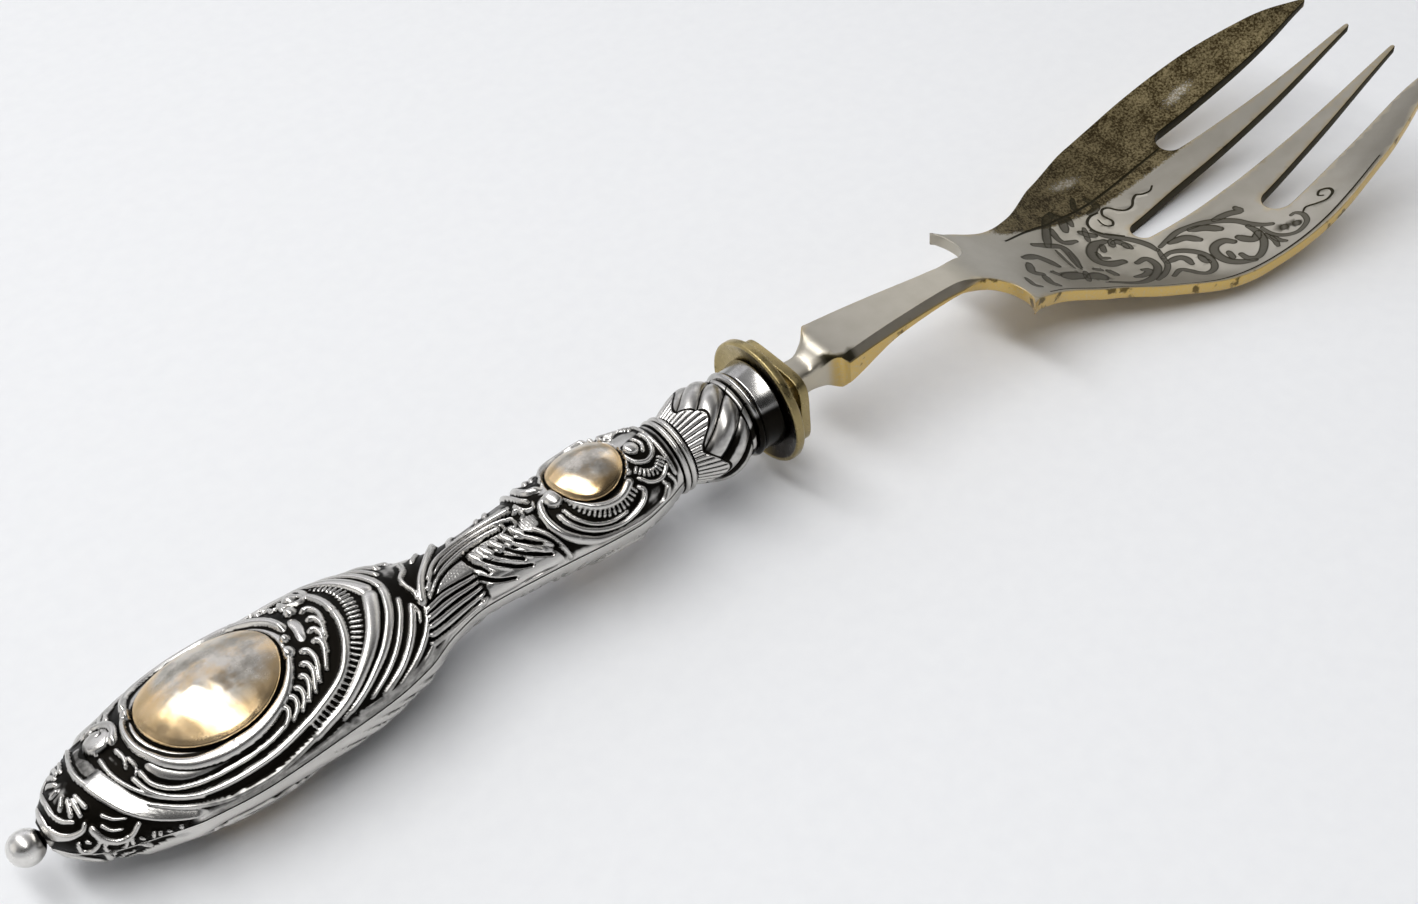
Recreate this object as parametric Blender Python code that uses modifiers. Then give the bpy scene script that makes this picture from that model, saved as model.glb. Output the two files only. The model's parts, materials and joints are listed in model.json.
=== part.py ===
"""Four-tined serving fork with a filled, embossed silver handle, lying on its back.

Every piece is modelled about the handle's own axis: X runs from the centre of the finial ball
towards the tines, and Z points out of the front of the fork. One empty then pitches the whole
fork until the back of the handle and the back of the palm both touch the ground.
"""

import math

import bmesh
import bpy
import numpy as np
from mathutils import Matrix

MM = 0.001

# Fits
CLEARANCE = 0.3 * MM
SEAM_GAP = 0.3 * MM

# Finial ball and its peg
BALL_RADIUS = 2.5 * MM
PEG_RADIUS = 1.0 * MM
PEG_LENGTH = 9.0 * MM
BALL_STEPS = 9

# Handle shells: length, wall, and the form as (part of the length, half width, half thickness)
SHELL_LENGTH = 98.0 * MM
SHEET = 0.8 * MM
END_RADIUS = PEG_RADIUS + CLEARANCE + SHEET
HANDLE_FORM = (
    (0.000, END_RADIUS, END_RADIUS),
    (0.022, 5.0 * MM, 4.1 * MM),
    (0.060, 7.8 * MM, 5.6 * MM),
    (0.120, 10.0 * MM, 6.6 * MM),
    (0.180, 11.8 * MM, 7.5 * MM),
    (0.270, 12.7 * MM, 8.2 * MM),
    (0.380, 12.2 * MM, 7.9 * MM),
    (0.460, 11.6 * MM, 7.4 * MM),
    (0.525, 10.2 * MM, 6.6 * MM),
    (0.585, 7.6 * MM, 5.7 * MM),
    (0.645, 6.3 * MM, 5.1 * MM),
    (0.750, 7.1 * MM, 5.7 * MM),
    (0.900, 8.5 * MM, 6.8 * MM),
    (0.955, 7.5 * MM, 6.2 * MM),
    (1.000, 5.9 * MM, 5.6 * MM),
)
SHELL_COLUMNS = 66
OUTER_STEPS = 22
INNER_STEPS = 8

# Cartouches: (part of the shell's length, offset round the handle, half length, half width) of each plaque
LARGE_PLAQUE = (0.266, 1.2 * MM, 9.8 * MM, 8.8 * MM)
SMALL_PLAQUE = (0.873, 0.8 * MM, 5.6 * MM, 5.6 * MM)
SEAT_DEPTH = 0.35 * MM
SEAT_MARGIN = 1.2 * MM
RIM_HALF_WIDTH = 1.4 * MM
RIM_HEIGHT = 0.65 * MM
PLAQUE_EDGE = 0.5 * MM
PLAQUE_DOME = 0.8 * MM
PLAQUE_RINGS = 4
PLAQUE_STEPS = 20

# Embossed scrolls: half width and height in millimetres, then points that are given as
# per cent of the shell's length and millimetres round the handle from its top line
SCROLLS = (
    # Broad scroll that opens at the butt and runs along the near seam, and its fellow on the far side
    (1.9, 0.80, ((10.8, 3), (7.3, 1), (9.3, -5.5), (14.9, -11), (25.1, -14), (36.3, -12.4), (41.4, -10.6))),
    (1.9, 0.80, ((7.6, 3.5), (10.3, 7), (15.9, 11.6), (26.1, 13.8), (36.3, 12.2), (42.4, 8.4))),
    # Ridges that sweep round the front end of the large cartouche
    (1.4, 0.60, ((13.9, -8.6), (22, -12), (31.2, -11.4), (40.4, -7.6), (44.5, -1), (42.4, 6.4))),
    (1.6, 0.70, ((35.3, -13), (43.5, -10), (49.1, -4), (50.1, 2), (46.5, 8))),
    (1.4, 0.60, ((43.5, -12.4), (49.1, -8), (52.7, -1), (51.6, 5), (47.6, 10))),
    # Acanthus stems over the waist
    (1.4, 0.60, ((55.7, -5), (59.8, -0.6), (65.9, 2.2), (72, 2.2), (77.1, 0))),
    (1.3, 0.55, ((56.7, 4.6), (61.8, 4.6), (68, 5.6), (76.1, 6))),
    (1.3, 0.55, ((55.7, -8.6), (62.9, -5.6), (70, -6.2), (77.1, -8.4))),
    # Scrolls either side of the small cartouche
    (1.4, 0.65, ((80.2, -1), (78.2, -3.6), (80.8, -8.4), (87.3, -10.4), (94.5, -9.6), (97, -6.4))),
    (1.4, 0.65, ((79.2, 3), (81.2, 8.2), (87.3, 10.2), (93.5, 8.8))),
)
SCROLL_SAMPLES = 48
RELIEF_FADE = 1.6 * MM

# Neck ring, knop and collar
RING_LENGTH = 2.2 * MM
RING_RADIUS = 6.2 * MM
BEAD_DEPTH = 0.5 * MM
BEADS = 2
BEAD_STEPS = 4
KNOP_LENGTH = 10.6 * MM
KNOP_RADIUS = 7.8 * MM
KNOP_END_RADIUS = 5.7 * MM
KNOP_FULLNESS = 0.8
KNOP_LEAN = 1.3
GADROONS = 10
GADROON_DEPTH = 0.9 * MM
GADROON_TWIST = math.radians(75)
GADROON_STEPS = 6
KNOP_RINGS = 13
COLLAR_LENGTH = 4.6 * MM
COLLAR_BEAD_RADIUS = 7.1 * MM
COLLAR_WAIST_RADIUS = 6.7 * MM
COLLAR_MOUTH_RADIUS = 7.4 * MM
COLLAR_BEAD_LENGTH = 1.2 * MM
COLLAR_STEPS = 7
TURNED_STEPS = 32

# Guard: a round dish behind, a rectangular plate in front, and a seat in it for the fork's shoulder
GUARD_THICKNESS = 3.2 * MM
DISH_RADIUS = 10.3 * MM
DISH_DEPTH = 0.6 * MM
DISH_THICKNESS = 1.5 * MM
DISH_ROUNDING = 0.4 * MM
GUARD_WAIST = 1.4 * MM
PLATE_HALF_WIDTH = 7.5 * MM
PLATE_HALF_HEIGHT = 6.6 * MM
PLATE_THICKNESS = 1.7 * MM
PLATE_REACH = 0.7 * MM
PLATE_CORNERS = 5.0
SLOT_CORNERS = 20.0
GUARD_STEPS = 64

# Tang
TANG_LENGTH = 60.0 * MM
TANG_ROOT = (2.2 * MM, 1.6 * MM)
TANG_TIP = (1.2 * MM, 1.0 * MM)
TANG_STEP = 0.1 * MM

# Fork, measured from the guard: half widths of the neck, the shank, the palm and the outer tines
NECK_FORM = (
    (0.0, 3.4 * MM),
    (2.0 * MM, 2.7 * MM),
    (5.0 * MM, 2.5 * MM),
    (7.5 * MM, 3.2 * MM),
    (9.0 * MM, 4.4 * MM),
)
SHANK_FORM = (
    (10.2 * MM, 5.8 * MM),
    (21.5 * MM, 4.7 * MM),
    (33.5 * MM, 3.7 * MM),
    (39.5 * MM, 3.5 * MM),
)
EAR_TRAILING = ((42.6 * MM, 4.3 * MM), (44.6 * MM, 6.4 * MM), (45.0 * MM, 8.4 * MM))
EAR_TIP = (43.3 * MM, 12.3 * MM)
PALM_FORM = (
    (45.5 * MM, 11.3 * MM),
    (52.0 * MM, 10.4 * MM),
    (61.5 * MM, 12.8 * MM),
    (73.0 * MM, 18.4 * MM),
    (87.0 * MM, 23.2 * MM),
    (101.5 * MM, 24.3 * MM),
    (117.5 * MM, 22.6 * MM),
    (133.5 * MM, 18.4 * MM),
    (141.0 * MM, 15.6 * MM),
)

# Tines, measured the same way: the two sides of the outer slot and the side of the centre slot
OUTER_SLOT_FAR = (
    (103.6 * MM, 15.1 * MM),
    (119.5 * MM, 14.4 * MM),
    (131.5 * MM, 14.0 * MM),
    (141.0 * MM, 14.6 * MM),
)
OUTER_SLOT_NEAR = (
    (103.6 * MM, 9.7 * MM),
    (119.5 * MM, 7.8 * MM),
    (131.5 * MM, 6.5 * MM),
    (141.4 * MM, 5.6 * MM),
)
CENTRE_SLOT_SIDE = (
    (83.2 * MM, 2.2 * MM),
    (95.5 * MM, 3.3 * MM),
    (119.5 * MM, 4.0 * MM),
    (141.4 * MM, 4.6 * MM),
)
TIP_POINT = 1.6
CURVE_STEP = 4.0 * MM
ARC_STEPS = 8

# Height of the fork's top along its middle, its thickness, and how far the palm's sides rise
TOP_LINE = (
    (0.0, 2.9 * MM),
    (2.0 * MM, 2.4 * MM),
    (5.0 * MM, 2.3 * MM),
    (9.0 * MM, 4.2 * MM),
    (33.5 * MM, 2.45 * MM),
    (39.0 * MM, 1.3 * MM),
    (45.5 * MM, -1.7 * MM),
    (53.5 * MM, -5.9 * MM),
    (61.5 * MM, -9.6 * MM),
    (71.0 * MM, -13.1 * MM),
    (82.0 * MM, -15.0 * MM),
    (101.5 * MM, -13.0 * MM),
    (119.5 * MM, -9.1 * MM),
    (142.0 * MM, -1.9 * MM),
)
THICKNESS_LINE = (
    (0.0, 5.8 * MM),
    (2.0 * MM, 4.8 * MM),
    (5.0 * MM, 4.6 * MM),
    (9.0 * MM, 6.4 * MM),
    (21.5 * MM, 3.6 * MM),
    (33.5 * MM, 2.9 * MM),
    (45.5 * MM, 2.4 * MM),
    (119.5 * MM, 2.1 * MM),
    (142.0 * MM, 1.3 * MM),
)
SIDE_RISE = (
    (43.0 * MM, 0.0),
    (57.5 * MM, 1.1 * MM),
    (73.5 * MM, 3.2 * MM),
    (93.5 * MM, 3.3 * MM),
    (117.5 * MM, 5.0 * MM),
    (130.0 * MM, 4.4 * MM),
    (142.0 * MM, 1.4 * MM),
)
SIDE_POWER = 3.0
EDGE_CHAMFER = 0.3 * MM
SHANK_CHAMFER = 1.2 * MM
BLANK_STEP = 4.5 * MM
PALM_CUTS = 4
PALM_CUT_SPACING = 5.0 * MM

# Places along the handle's axis
PEG_HOLE = PEG_RADIUS + CLEARANCE
SHELL_START = math.sqrt(BALL_RADIUS ** 2 - PEG_HOLE ** 2) + CLEARANCE
SHELL_END = SHELL_START + SHELL_LENGTH
RING_START = SHELL_END + CLEARANCE
KNOP_START = RING_START + RING_LENGTH + CLEARANCE
COLLAR_START = KNOP_START + KNOP_LENGTH + CLEARANCE
GUARD_START = COLLAR_START + COLLAR_LENGTH + CLEARANCE
FORK_START = GUARD_START + GUARD_THICKNESS + CLEARANCE
BORE = math.hypot(*TANG_ROOT) + CLEARANCE

# Colours and finish: (red, green, blue), metallic, roughness
SILVER = ((0.72, 0.71, 0.69), 1.0, 0.28)
GILT = ((0.80, 0.62, 0.36), 1.0, 0.30)
WORN_GILT = ((0.66, 0.60, 0.48), 1.0, 0.32)
PITCH = ((0.06, 0.04, 0.03), 0.0, 0.70)


# Curves and surfaces

def smooth_line(points, places):
    """Heights of a smooth line through the points that never overshoots them."""
    x, y = np.array(points, dtype=float).T
    width = np.diff(x)
    rise = np.diff(y) / width
    slope = np.concatenate(([rise[0]], np.zeros(len(x) - 2), [rise[-1]]))
    same_way = rise[:-1] * rise[1:] > 0
    slope[1:-1][same_way] = 2 / (1 / rise[:-1][same_way] + 1 / rise[1:][same_way])
    place = np.clip(places, x[0], x[-1])
    i = np.clip(np.searchsorted(x, place, side="right") - 1, 0, len(x) - 2)
    t = (place - x[i]) / width[i]
    start = (1 + 2 * t) * (1 - t) ** 2 * y[i] + t * (1 - t) ** 2 * width[i] * slope[i]
    end = t * t * (3 - 2 * t) * y[i + 1] + t * t * (t - 1) * width[i] * slope[i + 1]
    return start + end


def smooth_path(points, count):
    """Evenly numbered points on a smooth path through the given ones."""
    corners = np.array(points, dtype=float)
    length = np.concatenate(([0.0], np.cumsum(np.linalg.norm(np.diff(corners, axis=0), axis=1))))
    places = np.linspace(0.0, length[-1], count)
    return np.stack([smooth_line(np.column_stack((length, axis)), places) for axis in corners.T], axis=1)


def smooth_step(value):
    """0 to 1 with level ends."""
    t = np.clip(value, 0.0, 1.0)
    return t * t * (3 - 2 * t)


def handle_half_sizes(x):
    """Half width and half thickness of the handle's ground at a station."""
    part = (x - SHELL_START) / SHELL_LENGTH
    half_width = smooth_line([(row[0], row[1]) for row in HANDLE_FORM], part)
    half_thickness = smooth_line([(row[0], row[2]) for row in HANDLE_FORM], part)
    return half_width, half_thickness


def round_travel(x):
    """Angles from the far seam to the near one, and how far round from the top line each lies."""
    half_width, half_thickness = handle_half_sizes(x)
    angles = np.linspace(0.0, math.pi, 181)
    speed = np.hypot(half_width * np.sin(angles), half_thickness * np.cos(angles))
    travel = np.concatenate(([0.0], np.cumsum((speed[1:] + speed[:-1]) / 2 * np.diff(angles))))
    return angles, travel[-1] / 2 - travel


def round_to_angle(x, offset):
    """Angle of the point that lies so far round from the top line."""
    angles, offsets = round_travel(x)
    return float(np.interp(offset, offsets[::-1], angles[::-1]))


def angle_to_round(x, wanted):
    """Distance round from the top line, positive towards the far seam."""
    angles, offsets = round_travel(x)
    return np.interp(wanted, angles, offsets)


def shell_point(x, angle, height):
    """Point on the front half of the handle, raised along the section's normal."""
    half_width, half_thickness = handle_half_sizes(x)
    normal_y = math.cos(angle) / half_width
    normal_z = math.sin(angle) / half_thickness
    scale = height / math.hypot(normal_y, normal_z)
    y = half_width * math.cos(angle) + normal_y * scale
    z = SEAM_GAP / 2 + (half_thickness - SEAM_GAP / 2) * math.sin(angle) + normal_z * scale
    return x, y, z


def on_shell(part):
    """Station along the handle of a place given as a part of the shell's length."""
    return SHELL_START + part * SHELL_LENGTH


def scroll_paths():
    """Half width, height and smooth path of each embossed scroll."""
    scrolls = []
    for half_width, peak, points in SCROLLS:
        corners = [(on_shell(share / 100), offset * MM) for share, offset in points]
        scrolls.append((half_width * MM, peak * MM, smooth_path(corners, SCROLL_SAMPLES)))
    return scrolls


def seat_distance(oval, x, offset):
    """Distance outside the edge of a plaque's seat, negative inside it."""
    half_length = oval[2] + SEAT_MARGIN
    half_width = oval[3] + SEAT_MARGIN
    reach = math.hypot((x - on_shell(oval[0])) / half_length, (offset - oval[1]) / half_width)
    return (reach - 1) * min(half_length, half_width)


def relief(x, offset, scrolls):
    """Height of the embossing over the handle's ground."""
    height = 0.0
    place = np.array((x, offset))
    for half_width, peak, path in scrolls:
        distance = np.linalg.norm(path - place, axis=1).min() / half_width
        height = max(height, peak * float(smooth_step(1 - distance)))
    outside = min(seat_distance(oval, x, offset) for oval in (LARGE_PLAQUE, SMALL_PLAQUE))
    rim = abs(outside - RIM_HALF_WIDTH) / RIM_HALF_WIDTH
    height = max(height, RIM_HEIGHT * float(smooth_step(1 - rim)))
    sunk = 1 - float(smooth_step(outside / RIM_HALF_WIDTH))
    return height + (-SEAT_DEPTH - height) * sunk


# Mesh helpers

def finish(name, mesh, finish_values, collection, smooth=True):
    """Object with its own material, shaded smooth up to sharp edges."""
    colour, metallic, roughness = finish_values
    material = bpy.data.materials.new(name + "_finish")
    material.use_nodes = True
    shader = material.node_tree.nodes["Principled BSDF"]
    shader.inputs["Base Color"].default_value = (*colour, 1.0)
    shader.inputs["Metallic"].default_value = metallic
    shader.inputs["Roughness"].default_value = roughness
    mesh.materials.append(material)
    if smooth and isinstance(mesh, bpy.types.Mesh):
        mesh.shade_smooth()
        mesh.set_sharp_from_angle(angle=math.radians(40))
    piece = bpy.data.objects.new(name, mesh)
    collection.objects.link(piece)
    return piece


def loft(name, loops, ring=False):
    """Closed body through a row of closed loops; a ring joins the last loop to the first."""
    builder = bmesh.new()
    rows = [[builder.verts.new(point) for point in loop] for loop in loops]
    pairs = list(zip(rows, rows[1:] + rows[:1])) if ring else list(zip(rows, rows[1:]))
    for row, following in pairs:
        for i in range(len(row)):
            j = (i + 1) % len(row)
            builder.faces.new((row[i], row[j], following[j], following[i]))
    if not ring:
        builder.faces.new(rows[0])
        builder.faces.new(rows[-1])
    bmesh.ops.triangulate(builder, faces=builder.faces[:])
    bmesh.ops.recalc_face_normals(builder, faces=builder.faces[:])
    mesh = bpy.data.meshes.new(name)
    builder.to_mesh(mesh)
    builder.free()
    return mesh


def turned(name, profile, x, finish_values, collection):
    """Body turned about the handle's axis from (radius, place) points, outer side first."""
    mesh = bpy.data.meshes.new(name)
    edges = [(i, i + 1) for i in range(len(profile) - 1)]
    if profile[0][0] > 0:
        edges.append((len(profile) - 1, 0))
    mesh.from_pydata([(radius, 0.0, place) for radius, place in profile], edges, [])
    piece = finish(name, mesh, finish_values, collection, smooth=False)
    screw = piece.modifiers.new("turning", "SCREW")
    screw.steps = TURNED_STEPS
    screw.render_steps = TURNED_STEPS
    screw.use_merge_vertices = True
    screw.merge_threshold = 0.00001
    screw.use_smooth_shade = True
    piece.location = (x, 0.0, 0.0)
    piece.rotation_euler = (0.0, math.pi / 2, 0.0)
    return piece


def cut(piece, cutter):
    """Take the cutter's shape out of the piece."""
    boolean = piece.modifiers.new("cut_" + cutter.name, "BOOLEAN")
    boolean.operation = "DIFFERENCE"
    boolean.solver = "EXACT"
    boolean.object = cutter


# Pieces of the handle

def half_shell(name, side, collection):
    """Embossed half-shell; side is +1 for the front and -1 for the back."""
    scrolls = scroll_paths()
    loops = []
    for x in np.linspace(SHELL_START, SHELL_END, SHELL_COLUMNS + 1):
        outer_angles = np.linspace(0.0, math.pi, OUTER_STEPS + 1)
        rounds = angle_to_round(x, outer_angles)
        fade_in = smooth_step(min(x - SHELL_START, SHELL_END - x) / RELIEF_FADE)
        loop = []
        for angle, offset in zip(outer_angles, rounds):
            to_seam = (abs(rounds[0]) - abs(offset)) / RELIEF_FADE
            height = relief(x, offset, scrolls) * float(fade_in * smooth_step(to_seam))
            loop.append(shell_point(x, angle, height))
        for angle in np.linspace(math.pi, 0.0, INNER_STEPS + 1):
            loop.append(shell_point(x, angle, -SHEET))
        loops.append([(px, side * py, side * pz) for px, py, pz in loop])
    return finish(name, loft(name, loops), SILVER, collection)


def plaque(name, oval, side, collection):
    """Domed gilt oval that sits in its seat, clear of the shell all round."""
    part, middle, half_length, half_width = oval
    station = on_shell(part)
    under = CLEARANCE - SEAT_DEPTH
    layers = [(ring / PLAQUE_RINGS, under) for ring in range(1, PLAQUE_RINGS + 1)]
    for ring in range(PLAQUE_RINGS, 0, -1):
        reach = ring / PLAQUE_RINGS
        layers.append((reach, under + PLAQUE_EDGE + PLAQUE_DOME * (1 - reach * reach)))
    loops = []
    for reach, height in layers:
        loop = []
        for turn in np.linspace(0.0, 2 * math.pi, PLAQUE_STEPS, endpoint=False):
            x = station + half_length * reach * math.cos(turn)
            offset = middle + half_width * reach * math.sin(turn)
            px, py, pz = shell_point(x, round_to_angle(x, offset), height)
            loop.append((px, side * py, side * pz))
        loops.append(loop)
    return finish(name, loft(name, loops), GILT, collection)


def filler(name, collection, guides):
    """Core of pitch that fills the shells, with holes for the tang and the finial's peg."""
    loops = []
    columns = SHELL_COLUMNS // 3
    for x in np.linspace(SHELL_START + 2 * SHEET, SHELL_END - CLEARANCE, columns):
        front = [shell_point(x, angle, -SHEET - CLEARANCE)
                 for angle in np.linspace(0.0, math.pi, INNER_STEPS + 1)]
        back = [(px, -py, -pz) for px, py, pz in front]
        loops.append(front + back)
    piece = finish(name, loft(name, loops), PITCH, collection)
    peg_end = PEG_LENGTH + CLEARANCE
    bpy.ops.mesh.primitive_cylinder_add(radius=PEG_HOLE, depth=2 * peg_end, vertices=TURNED_STEPS)
    peg_cutter = make_guide("peg_hole", guides)
    peg_cutter.rotation_euler = (0.0, math.pi / 2, 0.0)
    cut(piece, peg_cutter)
    tang_end = FORK_START - TANG_LENGTH - CLEARANCE
    tang_mouth = FORK_START
    loops = []
    for x, (half_width, half_thickness) in ((tang_end, TANG_TIP), (tang_mouth, TANG_ROOT)):
        y = half_width + CLEARANCE
        z = half_thickness + CLEARANCE
        loops.append([(x, -y, -z), (x, y, -z), (x, y, z), (x, -y, z)])
    tang_cutter = bpy.data.objects.new("tang_hole", loft("tang_hole", loops))
    bpy.context.scene.collection.objects.link(tang_cutter)
    bpy.context.view_layer.objects.active = tang_cutter
    cut(piece, make_guide("tang_hole", guides))
    return piece


def make_guide(name, guides):
    """Turn the active object into a cutter that is not one of the pieces."""
    guide = bpy.context.view_layer.objects.active
    guide.name = name
    for owner in guide.users_collection:
        owner.objects.unlink(guide)
    guides.objects.link(guide)
    guide.hide_render = True
    guide.display_type = "WIRE"
    return guide


def finial(name, collection):
    """Ball on the end of the handle with the peg that holds it."""
    profile = [(0.0, PEG_LENGTH), (PEG_RADIUS, PEG_LENGTH)]
    first = math.asin(PEG_RADIUS / BALL_RADIUS)
    for turn in np.linspace(first, math.pi, BALL_STEPS + 1):
        profile.append((BALL_RADIUS * math.sin(turn), BALL_RADIUS * math.cos(turn)))
    profile[-1] = (0.0, -BALL_RADIUS)
    return turned(name, profile, 0.0, SILVER, collection)


def neck_ring(name, collection):
    """Turned ring with two beads round its edge."""
    half_bead = RING_LENGTH / BEADS / 2
    profile = []
    for bead in reversed(range(BEADS)):
        for turn in np.linspace(0.0, math.pi, BEAD_STEPS, endpoint=bead == 0):
            place = half_bead * (2 * bead + 1 + math.cos(turn))
            profile.append((RING_RADIUS - BEAD_DEPTH * (1 - math.sin(turn)), place))
    profile += [(BORE, 0.0), (BORE, RING_LENGTH)]
    return turned(name, profile, RING_START, SILVER, collection)


def knop(name, collection):
    """Swelling knop, widest towards the collar, with twisted gadroons."""
    count = GADROONS * GADROON_STEPS
    loops = []
    for part in np.linspace(0.0, 1.0, KNOP_RINGS):
        swell = math.sin(math.pi * part ** KNOP_LEAN)
        radius = KNOP_END_RADIUS + (KNOP_RADIUS - KNOP_END_RADIUS) * swell ** KNOP_FULLNESS
        loop = []
        for turn in np.linspace(0.0, 2 * math.pi, count, endpoint=False):
            crest = abs(math.cos((turn + GADROON_TWIST * (part - 0.5)) * GADROONS / 2))
            reach = radius - GADROON_DEPTH * swell * (1 - crest)
            loop.append((KNOP_START + KNOP_LENGTH * part, reach * math.cos(turn), reach * math.sin(turn)))
        loops.append(loop)
    for x in (KNOP_START + KNOP_LENGTH, KNOP_START):
        loops.append([(x, BORE * math.cos(turn), BORE * math.sin(turn))
                      for turn in np.linspace(0.0, 2 * math.pi, count, endpoint=False)])
    return finish(name, loft(name, loops, ring=True), SILVER, collection)


def collar(name, collection):
    """Polished collar: a bead, then a hollow that opens towards the guard."""
    profile = []
    for part in np.linspace(1.0, 0.0, COLLAR_STEPS + 1):
        place = COLLAR_LENGTH * part
        hollow = COLLAR_WAIST_RADIUS + (COLLAR_MOUTH_RADIUS - COLLAR_WAIST_RADIUS) * part ** 2
        bead = COLLAR_BEAD_RADIUS - COLLAR_WAIST_RADIUS
        profile.append((hollow + bead * float(smooth_step(1 - place / COLLAR_BEAD_LENGTH)), place))
    profile += [(BORE, 0.0), (BORE, COLLAR_LENGTH)]
    return turned(name, profile, COLLAR_START, SILVER, collection)


def rectangle_loop(x, half_width, half_height, corners, inset=0.0):
    """Loop round the axis in the form of a rectangle; a higher corner power makes the corners sharper."""
    loop = []
    for turn in np.linspace(0.0, 2 * math.pi, GUARD_STEPS, endpoint=False):
        y, z = math.cos(turn), math.sin(turn)
        share = abs(y / (half_width - inset)) ** corners + abs(z / (half_height - inset)) ** corners
        radius = share ** (-1 / corners)
        loop.append((x, radius * y, radius * z))
    return loop


def guard(name, collection):
    """Round dish behind a rectangular plate, with a slot for the tang and a seat for the fork's shoulder."""
    seat_floor = GUARD_START + GUARD_THICKNESS
    rim_back = GUARD_START - DISH_DEPTH
    rim_front = rim_back + DISH_THICKNESS
    plate_front = FORK_START + PLATE_REACH
    plate_back = plate_front - PLATE_THICKNESS
    slot = (TANG_ROOT[0] + CLEARANCE, TANG_ROOT[1] + CLEARANCE, SLOT_CORNERS)
    seat = (NECK_FORM[0][1] + CLEARANCE, THICKNESS_LINE[0][1] / 2 + CLEARANCE, SLOT_CORNERS)
    plate = (PLATE_HALF_WIDTH, PLATE_HALF_HEIGHT, PLATE_CORNERS)
    dish = (DISH_RADIUS, DISH_RADIUS, 2.0)
    loops = [
        rectangle_loop(GUARD_START, *slot),
        rectangle_loop(GUARD_START, COLLAR_MOUTH_RADIUS, COLLAR_MOUTH_RADIUS, 2.0),
        rectangle_loop(rim_back, *dish, DISH_ROUNDING),
        rectangle_loop(rim_back + DISH_ROUNDING, *dish),
        rectangle_loop(rim_front - DISH_ROUNDING, *dish),
        rectangle_loop(rim_front, *dish, DISH_ROUNDING),
        rectangle_loop(GUARD_START + DISH_THICKNESS, *plate, GUARD_WAIST),
        rectangle_loop(plate_back, *plate, GUARD_WAIST),
        rectangle_loop(plate_back, *plate),
        rectangle_loop(plate_front, *plate),
        rectangle_loop(plate_front, *seat),
        rectangle_loop(seat_floor, *seat),
        rectangle_loop(seat_floor, *slot),
    ]
    return finish(name, loft(name, loops, ring=True), GILT, collection)


# The fork

def sampled(points):
    """Points every few millimetres on a smooth line given by its places and half widths."""
    first, last = points[0][0], points[-1][0]
    count = max(2, round((last - first) / CURVE_STEP) + 1)
    places = np.linspace(first, last, count)
    return list(zip(places, smooth_line(points, places)))


def arc(start, end, bulge):
    """Points between two ends on an arc that bulges to the left by a share of its half chord."""
    start, end = np.array(start), np.array(end)
    middle = (start + end) / 2
    half = (end - start) / 2
    out = np.array((-half[1], half[0])) * bulge
    turns = np.linspace(0.0, math.pi, ARC_STEPS + 1)[1:-1]
    return [tuple(middle - half * math.cos(turn) + out * math.sin(turn)) for turn in turns]


def fork_outline():
    """Half of the fork's outline from the end of the tang to the bottom of the centre slot."""
    tang_half, tip_half = TANG_ROOT[0], TANG_TIP[0]
    line = [(-TANG_LENGTH, tip_half), (-TANG_STEP, tang_half)]
    line += list(NECK_FORM) + sampled(SHANK_FORM)
    line += list(EAR_TRAILING) + [EAR_TIP]
    outer = sampled(PALM_FORM)
    far_side = sampled(OUTER_SLOT_FAR)
    near_side = sampled(OUTER_SLOT_NEAR)
    centre_side = sampled(CENTRE_SLOT_SIDE)
    line += outer + arc(outer[-1], far_side[-1], TIP_POINT)
    line += far_side[::-1] + arc(far_side[0], near_side[0], -1.0)
    line += near_side + arc(near_side[-1], centre_side[-1], TIP_POINT)
    line += centre_side[::-1]
    foot = centre_side[0]
    line += arc(foot, (foot[0], -foot[1]), -1.0)[:ARC_STEPS // 2]
    return line


def fork_height(x, y, top):
    """Height of the top or the under side of the fork at a place in its plan."""
    if x < -TANG_STEP / 2:
        part = min(1.0, -x / TANG_LENGTH)
        half = TANG_ROOT[1] + (TANG_TIP[1] - TANG_ROOT[1]) * part
        return half if top else -half
    half_width = float(smooth_line(PALM_FORM, x))
    rise = float(smooth_line(SIDE_RISE, x)) * min(1.0, abs(y) / half_width) ** SIDE_POWER
    level = float(smooth_line(TOP_LINE, x)) + rise
    return level if top else level - float(smooth_line(THICKNESS_LINE, x))


def shank_share(x):
    """1 along the faceted shank, fading to 0 at its ends."""
    first = SHANK_FORM[0][0]
    last = EAR_TRAILING[0][0]
    fade = 2 * SHANK_CHAMFER
    return float(smooth_step((x - first + fade) / fade) * smooth_step((last - x) / (3 * fade)))


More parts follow.
